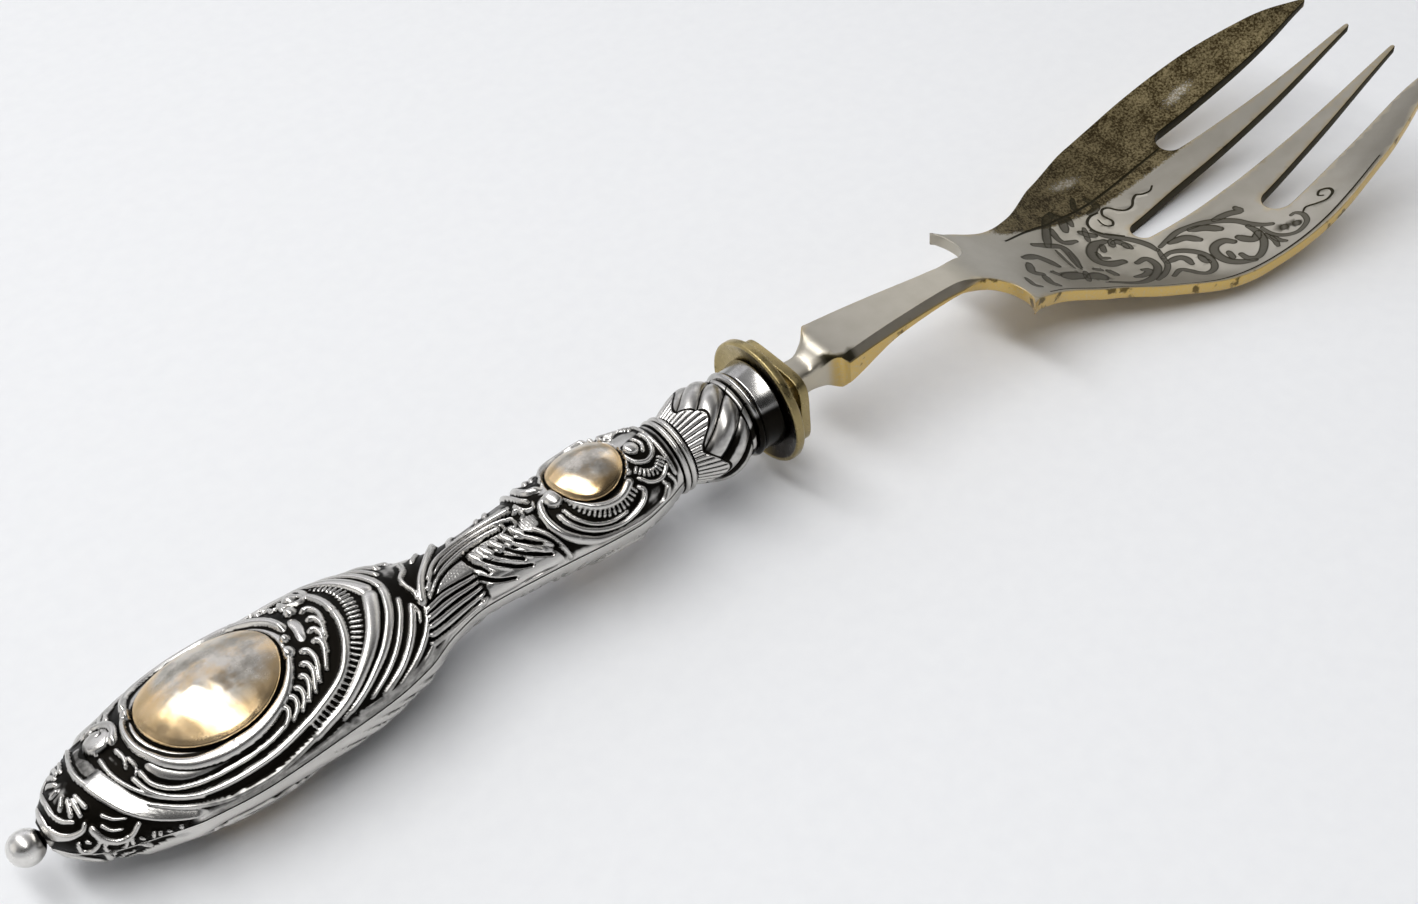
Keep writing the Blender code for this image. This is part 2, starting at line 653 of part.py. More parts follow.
def fork(name, collection):
    """Flat blank cut to the outline, then raised to the fork's form, with chamfered edges."""
    half = fork_outline()
    outline = half + [(x, -y) for x, y in reversed(half)]
    builder = bmesh.new()
    blank = builder.faces.new([builder.verts.new((x, y, 0.0)) for x, y in outline])
    bmesh.ops.recalc_face_normals(builder, faces=[blank])
    bmesh.ops.inset_region(builder, faces=[blank], thickness=EDGE_CHAMFER, use_even_offset=True)
    for vertex in builder.verts:
        if not vertex.is_boundary:
            vertex.co.z = 1.0
            inward = (SHANK_CHAMFER - EDGE_CHAMFER) * shank_share(vertex.co.x)
            vertex.co.y -= math.copysign(inward, vertex.co.y)
    last = max(point[0] for point in outline)
    places = list(np.arange(0.0, last, BLANK_STEP))
    places += [-TANG_STEP] + [row[0] for row in NECK_FORM[1:] + SHANK_FORM[:1]]
    cuts = [((x, 0.0, 0.0), (1.0, 0.0, 0.0)) for x in places]
    for i in range(-PALM_CUTS, PALM_CUTS + 1):
        cuts.append(((0.0, i * PALM_CUT_SPACING, 0.0), (0.0, 1.0, 0.0)))
    for place, direction in cuts:
        everything = builder.verts[:] + builder.edges[:] + builder.faces[:]
        bmesh.ops.bisect_plane(builder, geom=everything, plane_co=place, plane_no=direction, dist=1e-6)
    bmesh.ops.triangulate(builder, faces=builder.faces[:])
    under = list(builder.verts)
    raised = bmesh.ops.extrude_face_region(builder, geom=builder.faces[:], use_keep_orig=True)
    upper = [item for item in raised["geom"] if isinstance(item, bmesh.types.BMVert)]
    for vertices, top in ((under, False), (upper, True)):
        for vertex in vertices:
            x, y, level = vertex.co
            drop = (EDGE_CHAMFER + (SHANK_CHAMFER - EDGE_CHAMFER) * shank_share(x)) * (1 - level)
            height = fork_height(x, y, top)
            vertex.co = (FORK_START + x, y, height - drop if top else height + drop)
    bmesh.ops.recalc_face_normals(builder, faces=builder.faces[:])
    mesh = bpy.data.meshes.new(name)
    builder.to_mesh(mesh)
    builder.free()
    return finish(name, mesh, WORN_GILT, collection)


# Laying the fork down

def resting_matrix(pieces):
    """Pitch and shift that lay the pieces on the ground with the origin under their middle."""
    bpy.context.view_layer.update()
    graph = bpy.context.evaluated_depsgraph_get()
    points = []
    for piece in pieces:
        evaluated = piece.evaluated_get(graph)
        mesh = evaluated.to_mesh()
        points += [evaluated.matrix_world @ vertex.co for vertex in mesh.vertices]
        evaluated.to_mesh_clear()
    low = []
    for x, z in sorted((point.x, point.z) for point in points):
        while len(low) > 1 and (low[-1][0] - low[-2][0]) * (z - low[-2][1]) <= \
                (low[-1][1] - low[-2][1]) * (x - low[-2][0]):
            low.pop()
        low.append((x, z))
    start, end = next((a, b) for a, b in zip(low, low[1:]) if b[0] > FORK_START)
    pitch = Matrix.Rotation(math.atan2(end[1] - start[1], end[0] - start[0]), 4, "Y")
    laid = [pitch @ point for point in points]
    middle = [(min(p[i] for p in laid) + max(p[i] for p in laid)) / 2 for i in range(2)]
    floor = min(point.z for point in laid)
    return Matrix.Translation((-middle[0], -middle[1], -floor)) @ pitch


def build():
    """Make every piece and lay the fork down."""
    for item in list(bpy.data.objects):
        bpy.data.objects.remove(item, do_unlink=True)
    pieces = bpy.data.collections.new("serving_fork")
    guides = bpy.data.collections.new("cutters")
    for collection in (pieces, guides):
        bpy.context.scene.collection.children.link(collection)
    for side, word in ((1, "front"), (-1, "back")):
        half_shell("handle_" + word + "_shell", side, pieces)
        plaque(word + "_large_cartouche", LARGE_PLAQUE, side, pieces)
        plaque(word + "_small_cartouche", SMALL_PLAQUE, side, pieces)
    filler("handle_filler", pieces, guides)
    finial("finial_ball", pieces)
    neck_ring("neck_ring", pieces)
    knop("knop", pieces)
    collar("collar", pieces)
    guard("guard_plate", pieces)
    fork("fork", pieces)
    rest = bpy.data.objects.new("resting_place", None)
    pieces.objects.link(rest)
    laid = resting_matrix([piece for piece in pieces.objects if piece.type != "EMPTY"])
    for piece in list(pieces.objects) + list(guides.objects):
        if piece is not rest:
            piece.parent = rest
    rest.matrix_world = laid


build()
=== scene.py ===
# %% [markdown]
# # Salad serving fork with a filled, embossed handle
#
# The fork is a gilt forging whose tang runs into a silver handle. The handle is two stamped half-shells,
# soldered along the sides and filled with pitch, with a knop, a collar and a guard threaded on the tang.
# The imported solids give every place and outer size. This lesson dresses them: chased relief, engraving,
# worn gilding, and the dark tarnish that collectors leave in the recesses.

import json
import math

import bmesh
import bpy
import numpy as np
from mathutils import Matrix, Vector
from mathutils.geometry import delaunay_2d_cdt

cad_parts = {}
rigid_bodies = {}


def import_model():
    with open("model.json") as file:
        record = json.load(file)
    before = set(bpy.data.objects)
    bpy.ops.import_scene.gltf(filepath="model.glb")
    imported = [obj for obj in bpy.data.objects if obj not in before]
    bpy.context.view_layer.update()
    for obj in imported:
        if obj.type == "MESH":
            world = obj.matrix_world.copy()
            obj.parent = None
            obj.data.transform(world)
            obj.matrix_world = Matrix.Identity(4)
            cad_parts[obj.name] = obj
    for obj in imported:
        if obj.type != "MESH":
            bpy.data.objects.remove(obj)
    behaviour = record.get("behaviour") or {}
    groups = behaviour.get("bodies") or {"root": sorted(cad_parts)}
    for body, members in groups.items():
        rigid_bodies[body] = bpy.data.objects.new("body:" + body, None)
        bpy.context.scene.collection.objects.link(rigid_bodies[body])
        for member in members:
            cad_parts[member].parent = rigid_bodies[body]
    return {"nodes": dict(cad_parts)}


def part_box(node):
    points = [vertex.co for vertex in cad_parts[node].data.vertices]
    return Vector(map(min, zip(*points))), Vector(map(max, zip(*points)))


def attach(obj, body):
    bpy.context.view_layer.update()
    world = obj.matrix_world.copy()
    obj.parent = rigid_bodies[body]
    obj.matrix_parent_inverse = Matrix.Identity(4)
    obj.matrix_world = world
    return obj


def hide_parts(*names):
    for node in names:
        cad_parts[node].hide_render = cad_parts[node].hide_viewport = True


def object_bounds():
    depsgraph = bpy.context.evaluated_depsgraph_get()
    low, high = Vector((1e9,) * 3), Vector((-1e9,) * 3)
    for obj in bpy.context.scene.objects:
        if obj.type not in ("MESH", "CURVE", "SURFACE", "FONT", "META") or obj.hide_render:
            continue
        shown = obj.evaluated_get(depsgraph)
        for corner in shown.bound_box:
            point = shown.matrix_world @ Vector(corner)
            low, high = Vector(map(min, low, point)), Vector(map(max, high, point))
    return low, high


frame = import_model()
solid_low, solid_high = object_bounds()
print("solids reach from", tuple(solid_low), "to", tuple(solid_high))

# %% [markdown]
# A silversmith works such a handle about one axis, and so does this script. Its frame has x along the axis
# from the centre of the finial ball towards the tines, y to the far side and z out of the front, all in
# millimetres. Two round solids give that axis: the ball's centre and the neck ring's middle both lie on it.

# %% Find the handle's axis
MM = 0.001
CLEARANCE = 0.3


def middle(node):
    """Middle of a solid's box."""
    low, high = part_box(node)
    return (low + high) / 2


ball_low, ball_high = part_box("finial_ball")
BALL_RADIUS = (ball_high.z - ball_low.z) / 2 / MM
ball_centre = middle("finial_ball")
ball_centre.x = ball_low.x + BALL_RADIUS * MM
along = (middle("neck_ring") - ball_centre).normalized()
across = Vector((0.0, 1.0, 0.0))
axes = np.array((along, across, along.cross(across)))


def to_world(points):
    """Places in the row frame, in metres, of points in the handle's frame."""
    return np.asarray(points) * MM @ axes + np.array(ball_centre)


def span(node):
    """First and last station of a solid along the handle's axis."""
    points = np.array([vertex.co for vertex in frame["nodes"][node].data.vertices])
    stations = (points - np.array(ball_centre)) @ axes[0] / MM
    return float(stations.min()), float(stations.max())


SHELL_START, SHELL_END = span("handle_front_shell")
RING_START, RING_END = span("neck_ring")
KNOP_START, KNOP_END = span("knop")
COLLAR_START, COLLAR_END = span("collar")
TANG_LENGTH = 60.0
FORK_START = span("fork")[0] + TANG_LENGTH
print("pitch of the handle", round(math.degrees(math.asin(along.z)), 2), "degrees")
print("shells from", round(SHELL_START, 2), "to", round(SHELL_END, 2), "mm, fork from", round(FORK_START, 2))

# %% [markdown]
# A few small tools draw every outline here: a line that passes through measured points without overshoot, a
# path through points on a surface, a step with soft ends, and a stretch between two such steps.

# %% Curves


def smooth_line(points, places):
    """Heights of a smooth line through the points that never overshoots them."""
    x, y = np.array(points, dtype=float).T
    width = np.diff(x)
    rise = np.diff(y) / width
    slope = np.concatenate(([rise[0]], np.zeros(len(x) - 2), [rise[-1]]))
    same_way = rise[:-1] * rise[1:] > 0
    slope[1:-1][same_way] = 2 / (1 / rise[:-1][same_way] + 1 / rise[1:][same_way])
    place = np.clip(places, x[0], x[-1])
    i = np.clip(np.searchsorted(x, place, side="right") - 1, 0, len(x) - 2)
    t = (place - x[i]) / width[i]
    start = (1 + 2 * t) * (1 - t) ** 2 * y[i] + t * (1 - t) ** 2 * width[i] * slope[i]
    end = t * t * (3 - 2 * t) * y[i + 1] + t * t * (t - 1) * width[i] * slope[i + 1]
    return start + end


def smooth_path(points, step):
    """Points about a step apart on a path that bends smoothly through the given ones."""
    corners = np.array(points, dtype=float)
    ends = np.vstack((2 * corners[0] - corners[1], corners, 2 * corners[-1] - corners[-2]))
    path = [corners[:1]]
    for before, start, end, after in zip(ends, ends[1:], ends[2:], ends[3:]):
        count = max(2, math.ceil(np.linalg.norm(end - start) / step))
        t = np.linspace(0.0, 1.0, count + 1)[1:, None]
        bend = 2 * before - 5 * start + 4 * end - after
        twist = 3 * start - before - 3 * end + after
        path.append(start + (t * (end - before) + t * t * bend + t ** 3 * twist) / 2)
    return np.vstack(path)


def smooth_step(value):
    """0 to 1 with level ends."""
    t = np.clip(value, 0.0, 1.0)
    return t * t * (3 - 2 * t)


def between(value, start, rise, end, fall):
    """1 from a start to an end, with a soft rise after the one and a soft fall before the other."""
    return smooth_step((value - start) / rise) * smooth_step((end - value) / fall)


def lengths_along(path):
    """How far along a path each of its points lies."""
    return np.concatenate(([0.0], np.cumsum(np.linalg.norm(np.diff(path, axis=0), axis=1))))


# %% [markdown]
# Each dressed piece is one closed mesh that takes the place of its solid and rides on the root body. Numbers painted
# on its points, such as how tarnished a recess is, go along with the mesh for the material to read.

# %% Mesh maker


def loop_faces(loops, points_per_loop, ring=False):
    """Faces between neighbouring closed loops; a ring joins the last loop to the first, others get ends."""
    count = loops if ring else loops - 1
    i = np.arange(count)[:, None] * points_per_loop
    following = (np.arange(1, count + 1)[:, None] % loops) * points_per_loop
    j = np.arange(points_per_loop)[None, :]
    k = (j + 1) % points_per_loop
    faces = np.stack((i + j, i + k, following + k, following + j), axis=-1).reshape(-1, 4).tolist()
    if not ring:
        last = (loops - 1) * points_per_loop
        faces += [list(range(points_per_loop)), list(range(last, last + points_per_loop))]
    return faces


def make_piece(name, points, faces, finish, node, marks, crease):
    """Closed mesh in the handle's frame that replaces a solid."""
    mesh = bpy.data.meshes.new(name)
    # No relief stands further out than the box that holds all the solids
    mesh.from_pydata(np.clip(to_world(points), solid_low, solid_high).tolist(), [], faces)
    for mark, values in marks.items():
        layer = mesh.attributes.new(mark, "FLOAT", "POINT")
        layer.data.foreach_set("value", np.asarray(values, dtype=np.float32))
    builder = bmesh.new()
    builder.from_mesh(mesh)
    bmesh.ops.recalc_face_normals(builder, faces=builder.faces[:])
    builder.to_mesh(mesh)
    builder.free()
    mesh.shade_smooth()
    mesh.set_sharp_from_angle(angle=math.radians(crease))
    mesh.materials.append(finish)
    piece = bpy.data.objects.new(name, mesh)
    bpy.context.scene.collection.objects.link(piece)
    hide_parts(node)
    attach(piece, "root")
    print(name, "has", len(mesh.vertices), "points")


# %% [markdown]
# Materials are built from one small function that adds a node, sets it up and links it. Colours are written
# as sRGB codes and turned linear in one place. Patterns are measured in millimetres on the object.

# %% Material maker


def to_linear(code):
    """Linear colour of an sRGB hex code."""
    channels = [int(code[i:i + 2], 16) / 255 for i in (1, 3, 5)]
    return (*[c / 12.92 if c <= 0.04045 else ((c + 0.055) / 1.055) ** 2.4 for c in channels], 1.0)


def set_inputs(tree, node, inputs):
    """Gives each input of a node a plain value, or links it to another node's socket."""
    for name, value in inputs.items():
        if isinstance(value, bpy.types.NodeSocket):
            tree.links.new(value, node.inputs[name])
        else:
            node.inputs[name].default_value = value


def add_node(tree, kind, inputs=None, **settings):
    """Node with its settings and its inputs."""
    node = tree.nodes.new(kind)
    for name, value in settings.items():
        setattr(node, name, value)
    set_inputs(tree, node, inputs or {})
    return node


def start_material(name):
    """Empty material with its tree, its shader and the object's own coordinates."""
    material = bpy.data.materials.new(name)
    material.use_nodes = True
    tree = material.node_tree
    place = add_node(tree, "ShaderNodeTexCoord").outputs["Object"]
    return material, tree, tree.nodes["Principled BSDF"], place


def pattern_scale(size):
    """Scale of a procedural pattern whose marks are so many millimetres apart."""
    return 1 / (size * MM)


# ShaderNodeMix numbers its colour sockets
FACTOR, COLOUR_A, COLOUR_B, COLOUR_OUT = 0, 6, 7, 2

# %% [markdown]
# Stamped silver is polished on its crests, where hands and cloths reach it, and is left almost black in the recesses,
# either with liver of sulphur or by a century of tarnish. The eye reads the relief from that contrast as much as from
# the light. The mark on each point says how deep it lies between the crests around it, and on the grip's lower near
# flank, the root of the broad scroll and the near side of the knop and collar it also carries painted shade and
# painted dark reflection.

# %% Oxidised silver, stamped, chased and wiped
SILVER = to_linear("#DCDAD6")
SILVER_SHADE = to_linear("#BEBBB6")
SOOT_AND_SHADE = to_linear("#14120F")
CREST_ROUGHNESS = 0.27
RECESS_ROUGHNESS = 0.5

oxidised_silver, tree, shader, place = start_material("oxidised silver, stamped and wiped")
tarnish_and_shade = add_node(tree, "ShaderNodeAttribute", attribute_name="tarnish_and_shade").outputs["Fac"]
# Wiping is uneven: the dark comes and goes over about a millimetre
smudge = add_node(tree, "ShaderNodeTexNoise", {"Vector": place, "Scale": pattern_scale(1.1), "Detail": 5.0})
uneven = add_node(tree, "ShaderNodeMath", {0: smudge.outputs["Fac"], 1: 0.5}, operation="SUBTRACT")
patchy = add_node(tree, "ShaderNodeMath", {
    0: uneven.outputs[0], 1: 0.45, 2: tarnish_and_shade}, operation="MULTIPLY_ADD", use_clamp=True)
# Old polish leaves a soft grey bloom over several millimetres
bloom = add_node(tree, "ShaderNodeTexNoise", {"Vector": place, "Scale": pattern_scale(6.0), "Detail": 4.0})
polish = add_node(tree, "ShaderNodeMix", {
    FACTOR: bloom.outputs["Fac"], COLOUR_A: SILVER, COLOUR_B: SILVER_SHADE}, data_type="RGBA")
# A thin film is enough to kill the shine, so the dark sets in early
blackened = add_node(tree, "ShaderNodeMapRange", {
    "Value": patchy.outputs[0], "From Min": 0.12, "From Max": 0.74}, interpolation_type="SMOOTHSTEP")
colour = add_node(tree, "ShaderNodeMix", {
    FACTOR: blackened.outputs[0], COLOUR_A: polish.outputs[COLOUR_OUT], COLOUR_B: SOOT_AND_SHADE}, data_type="RGBA")
gloss = add_node(tree, "ShaderNodeMapRange", {
    "Value": blackened.outputs[0], "To Min": CREST_ROUGHNESS, "To Max": RECESS_ROUGHNESS})
# Handling marks: shallow dents a third of a millimetre apart
dents = add_node(tree, "ShaderNodeTexNoise", {"Vector": place, "Scale": pattern_scale(0.35), "Detail": 3.0})
bump = add_node(tree, "ShaderNodeBump", {"Height": dents.outputs["Fac"], "Strength": 0.12, "Distance": 0.05 * MM})
set_inputs(tree, shader, {"Base Color": colour.outputs[COLOUR_OUT], "Roughness": gloss.outputs[0],
                          "Normal": bump.outputs[0], "Metallic": 1.0})
print("made", oxidised_silver.name)

# %% [markdown]
# The shells start from the plain form of the handle, an oval that swells at the butt, narrows to a waist and
# swells again at the small cartouche. The form is kept as the solid has it: part of the length, half width
# and half thickness. A die drives the pattern up from inside, so relief stands out along the oval's normal.

# %% Plain form of the handle
HANDLE_FORM = (
    (0.000, 2.1, 2.1),
    (0.022, 5.0, 4.1),
    (0.060, 7.8, 5.6),
    (0.120, 10.0, 6.6),
    (0.180, 11.8, 7.5),
    (0.270, 12.7, 8.2),
    (0.380, 12.2, 7.9),
    (0.460, 11.6, 7.4),
    (0.525, 10.2, 6.6),
    (0.585, 7.6, 5.7),
    (0.645, 6.3, 5.1),
    (0.750, 7.1, 5.7),
    (0.900, 8.5, 6.8),
    (0.955, 7.5, 6.2),
    (1.000, 5.9, 5.6),
)
SHEET, SEAM_GAP = 0.8, 0.3
GIRTH_STEPS = 361


def half_sizes(stations):
    """Half width and half thickness of the plain handle."""
    part = (stations - SHELL_START) / (SHELL_END - SHELL_START)
    columns = np.array(HANDLE_FORM)
    return smooth_line(columns[:, (0, 1)], part), smooth_line(columns[:, (0, 2)], part)


def girth(stations):
    """Angles from the far seam to the near one, and how far round from the far seam each lies."""
    half_width, half_thickness = half_sizes(stations)
    angles = np.linspace(0.0, math.pi, GIRTH_STEPS)
    speed = np.hypot(half_width[:, None] * np.sin(angles), half_thickness[:, None] * np.cos(angles))
    pieces = (speed[:, 1:] + speed[:, :-1]) / 2 * np.diff(angles)
    return angles, np.hstack((np.zeros((len(stations), 1)), np.cumsum(pieces, axis=1)))


def on_handle(stations, angles, heights):
    """Points on the front half of the handle, raised along the oval's normal."""
    half_width, half_thickness = half_sizes(stations)
    normal_y = np.cos(angles) / half_width
    normal_z = np.sin(angles) / half_thickness
    raised = heights / np.hypot(normal_y, normal_z)
    y = half_width * np.cos(angles) + normal_y * raised
    z = SEAM_GAP / 2 + (half_thickness - SEAM_GAP / 2) * np.sin(angles) + normal_z * raised
    return np.stack((np.broadcast_to(stations, y.shape), y, z), axis=-1)


print("widest half of the plain handle", max(row[1] for row in HANDLE_FORM), "mm")

# %% [markdown]
# The relief is drawn the way a chaser works it, one blow after another. A stroke is a row of round blows along
# a path, each as wide and as high as the tool at that point, and the higher of two blows wins. Places are
# (station, offset): millimetres along the handle, and millimetres round it from the top line, with the near
# side negative.

# %% Chasing tools
COLUMN_STEP, ROWS = 0.17, 200
# Blows follow so closely, in parts of their half width, that no bumps are left
BLOW_SPACING, LEAST_SPACING = 0.16, 0.03
# A stroke starts at this part of its half width and is full after this many
END_START, END_LENGTH = 0.35, 1.2
BAND_STRIPS, BAND_SPACING, BAND_ENDS, BAND_END_START = 9, 0.12, 8, 0.2
STRIP_OVERLAP, STRIP_LEAST, STRIP_FULLNESS = 1.6, 0.12, 0.3
RIB_PATH_STEP = 0.05


class Relief:
    """Heights over the plain front half-shell, on a grid of stations and places round it."""

    def __init__(self):
        count = round((SHELL_END - SHELL_START) / COLUMN_STEP)
        self.stations = np.linspace(SHELL_START, SHELL_END, count + 1)
        angles, travel = girth(self.stations)
        self.half_girth = travel[:, -1]
        part = np.linspace(0.0, 1.0, ROWS)
        self.angles = np.array([np.interp(part * row[-1], row, angles) for row in travel])
        self.offsets = self.half_girth[:, None] * (0.5 - part)
        self.raised = np.zeros_like(self.offsets)
        self.sunk = np.zeros_like(self.offsets)

    def blow(self, layer, place, half_width, height, fullness):
        """One round blow on a layer."""
        x, offset = place
        first = int((x - half_width - SHELL_START) / COLUMN_STEP)
        last = int((x + half_width - SHELL_START) / COLUMN_STEP) + 2
        first, last = max(first, 0), min(last, len(self.stations))
        if first >= last:
            return
        local = self.half_girth[first:last]
        top = int(((0.5 - (offset + half_width) / local) * (ROWS - 1)).min()) - 1
        bottom = int(((0.5 - (offset - half_width) / local) * (ROWS - 1)).max()) + 2
        top, bottom = max(top, 0), min(bottom, ROWS)
        if top >= bottom:
            return
        dx = self.stations[first:last, None] - x
        dy = self.offsets[first:last, top:bottom] - offset
        share = np.maximum(1 - (dx * dx + dy * dy) / half_width ** 2, 0.0)
        spot = layer[first:last, top:bottom]
        np.maximum(spot, height * share ** fullness, out=spot)

    def stroke(self, start_width, end_width, height, points, fullness=0.7, sink=False):
        """A row of blows whose half width changes from start to end and whose ends fade."""
        layer = self.sunk if sink else self.raised
        path = smooth_path(points, BLOW_SPACING * min(start_width, end_width) + LEAST_SPACING)
        travel = lengths_along(path)
        for place, done in zip(path, travel):
            part = done / travel[-1]
            half_width = start_width + (end_width - start_width) * part
            to_end = min(done, travel[-1] - done) + END_START * half_width
            fade = float(smooth_step(to_end / (END_LENGTH * half_width)))
            self.blow(layer, place, half_width, height * fade, fullness)

    def band(self, start_width, end_width, left_heights, right_heights, points):
        """A flat band between two edges, each with its height at the start and the end, laid in narrow strips."""
        path = smooth_path(points, BAND_SPACING)
        direction = np.gradient(path, axis=0)
        direction /= np.linalg.norm(direction, axis=1)[:, None]
        normal = np.column_stack((-direction[:, 1], direction[:, 0]))
        part = np.linspace(0.0, 1.0, len(path))
        widths = start_width + (end_width - start_width) * part ** 2
        left, right = (ends[0] + (ends[1] - ends[0]) * part for ends in (left_heights, right_heights))
        fades = smooth_step(np.minimum(part, 1 - part) * BAND_ENDS + BAND_END_START)
        for side in np.linspace(-1.0, 1.0, BAND_STRIPS):
            heights = (left + (right - left) * (side + 1) / 2) * fades
            strip = path + normal * (side * widths)[:, None]
            for place, width, height in zip(strip, STRIP_OVERLAP * widths / BAND_STRIPS + STRIP_LEAST, heights):
                self.blow(self.raised, place, width, height, STRIP_FULLNESS)

    def ribs(self, points, spacing, length, half_width, height):
        """Short ribs across a path, as on the lip of a shell."""
        path = smooth_path(points, RIB_PATH_STEP)
        travel = lengths_along(path)
        for done in np.arange(spacing / 2, travel[-1], spacing):
            i = min(int(np.searchsorted(travel, done)), len(path) - 2)
            direction = path[i + 1] - path[i]
            direction /= np.linalg.norm(direction)
            side = np.array((-direction[1], direction[0]))
            self.stroke(half_width, half_width, height, (path[i] - side * length / 2, path[i] + side * length / 2))


relief = Relief()
print("relief grid", relief.raised.shape, "finest mark", COLUMN_STEP, "mm")

# %% [markdown]
# The butt carries the grandest piece of the design, a broad C-scroll that springs from a round eye and sweeps
# under the large cartouche. Thin ridges run inside it like the growth lines of a shell. The far side was
# struck from the same idea, so strokes low on the near side are repeated there, mirrored about the cartouche.

# %% Scrolls round the large cartouche
MIRROR_LINE = 1.0


def far_twin(points):
    """Mirror image of a path, on the other side of the cartouches' middle."""
    return [(x, 2 * MIRROR_LINE - s) for x, s in points]


def both_sides(start_width, end_width, height, points, **settings):
    """Stroke on the near side and its mirror image on the far side."""
    for path in (points, far_twin(points)):
        relief.stroke(start_width, end_width, height, path, **settings)


# Broad band: a thin lip at the top, then flat, with its outer edge the higher one
relief.stroke(0.38, 0.45, 0.8, ((10.0, 6.6), (9.5, 4.0), (9.2, 1.8), (9.4, -0.2), (10.0, -2.2)), fullness=0.5)
relief.stroke(0.9, 1.1, 0.28, ((10.9, 5.2), (10.6, 2.6), (10.7, 0.2), (11.0, -2.6)), fullness=0.3)
relief.band(1.15, 0.35, (0.95, 1.0), (0.5, 0.3), (
    (10.6, -0.3), (10.9, -2.0), (11.8, -4.6), (13.1, -7.2), (15.0, -9.6), (17.8, -12.1), (20.6, -13.9)))
# Round eye with the curl that is cut into it, and the crescent beside it
relief.blow(relief.raised, (13.5, 3.4), 1.9, 1.0, 0.12)
relief.stroke(0.2, 0.14, 0.28, ((12.3, 5.5), (13.5, 5.4), (14.5, 4.6), (14.4, 3.7), (13.8, 3.6)), sink=True)
relief.stroke(0.6, 0.7, 0.85, ((12.4, 6.8), (14.2, 6.7), (15.6, 5.4), (15.9, 3.4), (15.0, 1.6)), fullness=0.4)
relief.stroke(1.4, 0.8, 0.8, ((11.5, 8.5), (14.5, 11.0), (19, 13.6), (26, 15.8), (33, 15.2), (40, 12.8), (45, 9.6)),
              fullness=0.5)

# Growth lines between the band and the cartouche
both_sides(0.35, 0.35, 0.55, ((12.7, 0.6), (12.9, -2.4), (14.0, -5.4), (16.0, -8.4), (18.6, -10.7), (21, -12.1)))
both_sides(0.4, 0.4, 0.62, (
    (15.9, -4.4), (16.4, -6.8), (18.2, -8.9), (20.8, -10.2), (24, -11.0), (27.5, -11.3), (31, -11.0), (33.6, -10.3)))
both_sides(0.42, 0.6, 0.66, ((14.8, -4.6), (15.6, -7.2), (17.4, -9.5), (20, -11.3), (23, -12.3), (26.5, -12.8),
                             (30.5, -12.7), (34, -12.0), (38, -10.8)))
both_sides(0.4, 0.55, 0.62, (
    (14.6, -8.4), (17.8, -11.3), (20.8, -13.2), (24, -14.5), (28, -15.1), (31, -14.9), (34, -14.2), (38, -13.0)))
print("tallest growth line", round(float(relief.raised.max()), 2), "mm")

# %% [markdown]
# The cartouche is held by a rolled rim, widest underneath, with a bead where it starts. In the channel beyond it
# stands a row of fronds, each a long tail that curls in at its tip.

# %% Rim and fronds
relief.stroke(0.4, 0.6, 0.8, ((18.4, 4.4), (17.3, 3.4), (16.8, 1.2), (17.0, -1.4), (17.8, -3.6)), fullness=0.5)
relief.stroke(0.6, 1.15, 0.9, ((17.6, -3.2), (19.2, -5.8), (21.8, -7.9), (25, -9.0), (28, -9.3)), fullness=0.4)
relief.stroke(1.15, 0.5, 0.9, ((27, -9.3), (30.5, -9.0), (33.4, -8.1), (35.8, -6.7), (37.6, -4.8), (38.9, -2.6)),
              fullness=0.4)
relief.stroke(1.1, 1.7, 0.45, ((17.0, -4.2), (18.4, -6.6), (20.4, -8.4), (22.6, -9.2), (26.6, -10.0), (31, -9.4)),
              fullness=1.0)
relief.blow(relief.raised, (18.3, 4.4), 1.0, 1.1, 0.5)
relief.stroke(0.6, 0.9, 0.8, ((18.2, 6.0), (19.2, 8.6), (22, 11.0), (26, 12.2), (31, 12.2), (35.5, 10.2)),
              fullness=0.55)
relief.stroke(0.9, 0.7, 0.85, ((35, 10.5), (38, 7.6), (39.8, 5.0), (40.6, 2.6)), fullness=0.5)
relief.blow(relief.raised, (39.1, -1.6), 1.05, 1.0, 0.55)
relief.blow(relief.raised, (39.9, 0.7), 0.7, 0.8, 0.6)

for tail, bend, turn, tip in (
    ((33.4, -10.5), (34.6, -9.5), (35.0, -8.5), (34.4, -8.0)),
    ((34.8, -10.3), (36.2, -9.0), (36.5, -7.8), (35.9, -7.3)),
    ((36.4, -9.9), (37.6, -8.3), (37.7, -7.1), (37.1, -6.7)),
    ((37.8, -9.2), (39.0, -7.2), (39.1, -6.0), (38.5, -5.6)),
    ((39.1, -8.6), (40.3, -6.1), (40.3, -4.7), (39.6, -4.2)),
    ((40.3, -7.7), (41.5, -4.8), (41.4, -3.1), (40.6, -2.5)),
    ((41.9, -6.6), (43.2, -4.0), (43.4, -2.5), (42.7, -2.0)),
    ((43.3, -4.6), (44.0, -1.9), (43.8, -0.5), (43.0, -0.3)),
    ((44.3, -2.6), (44.9, -0.2), (44.6, 1.3), (43.8, 1.7)),
    ((45.2, -0.4), (45.5, 2.0), (44.9, 3.5), (43.9, 3.8)),
):
    relief.stroke(0.3, 0.54, 0.74, (tail, bend, turn, tip), fullness=0.5)
relief.blow(relief.raised, (42.7, 5.0), 1.0, 0.9, 0.55)
relief.stroke(0.8, 1.0, 0.34, ((41.7, -0.8), (42.1, 1.4), (41.8, 3.4)), fullness=1.0)
for x, s in ((41.4, 6.9), (40.2, 8.4), (38.6, 10.2), (36.6, 11.8)):
    relief.stroke(0.5, 0.22, 0.6, ((x + 0.9, s - 0.7), (x + 0.6, s + 0.5), (x - 0.3, s + 0.8)))
print("tallest stroke so far", round(float(relief.raised.max()), 2), "mm")

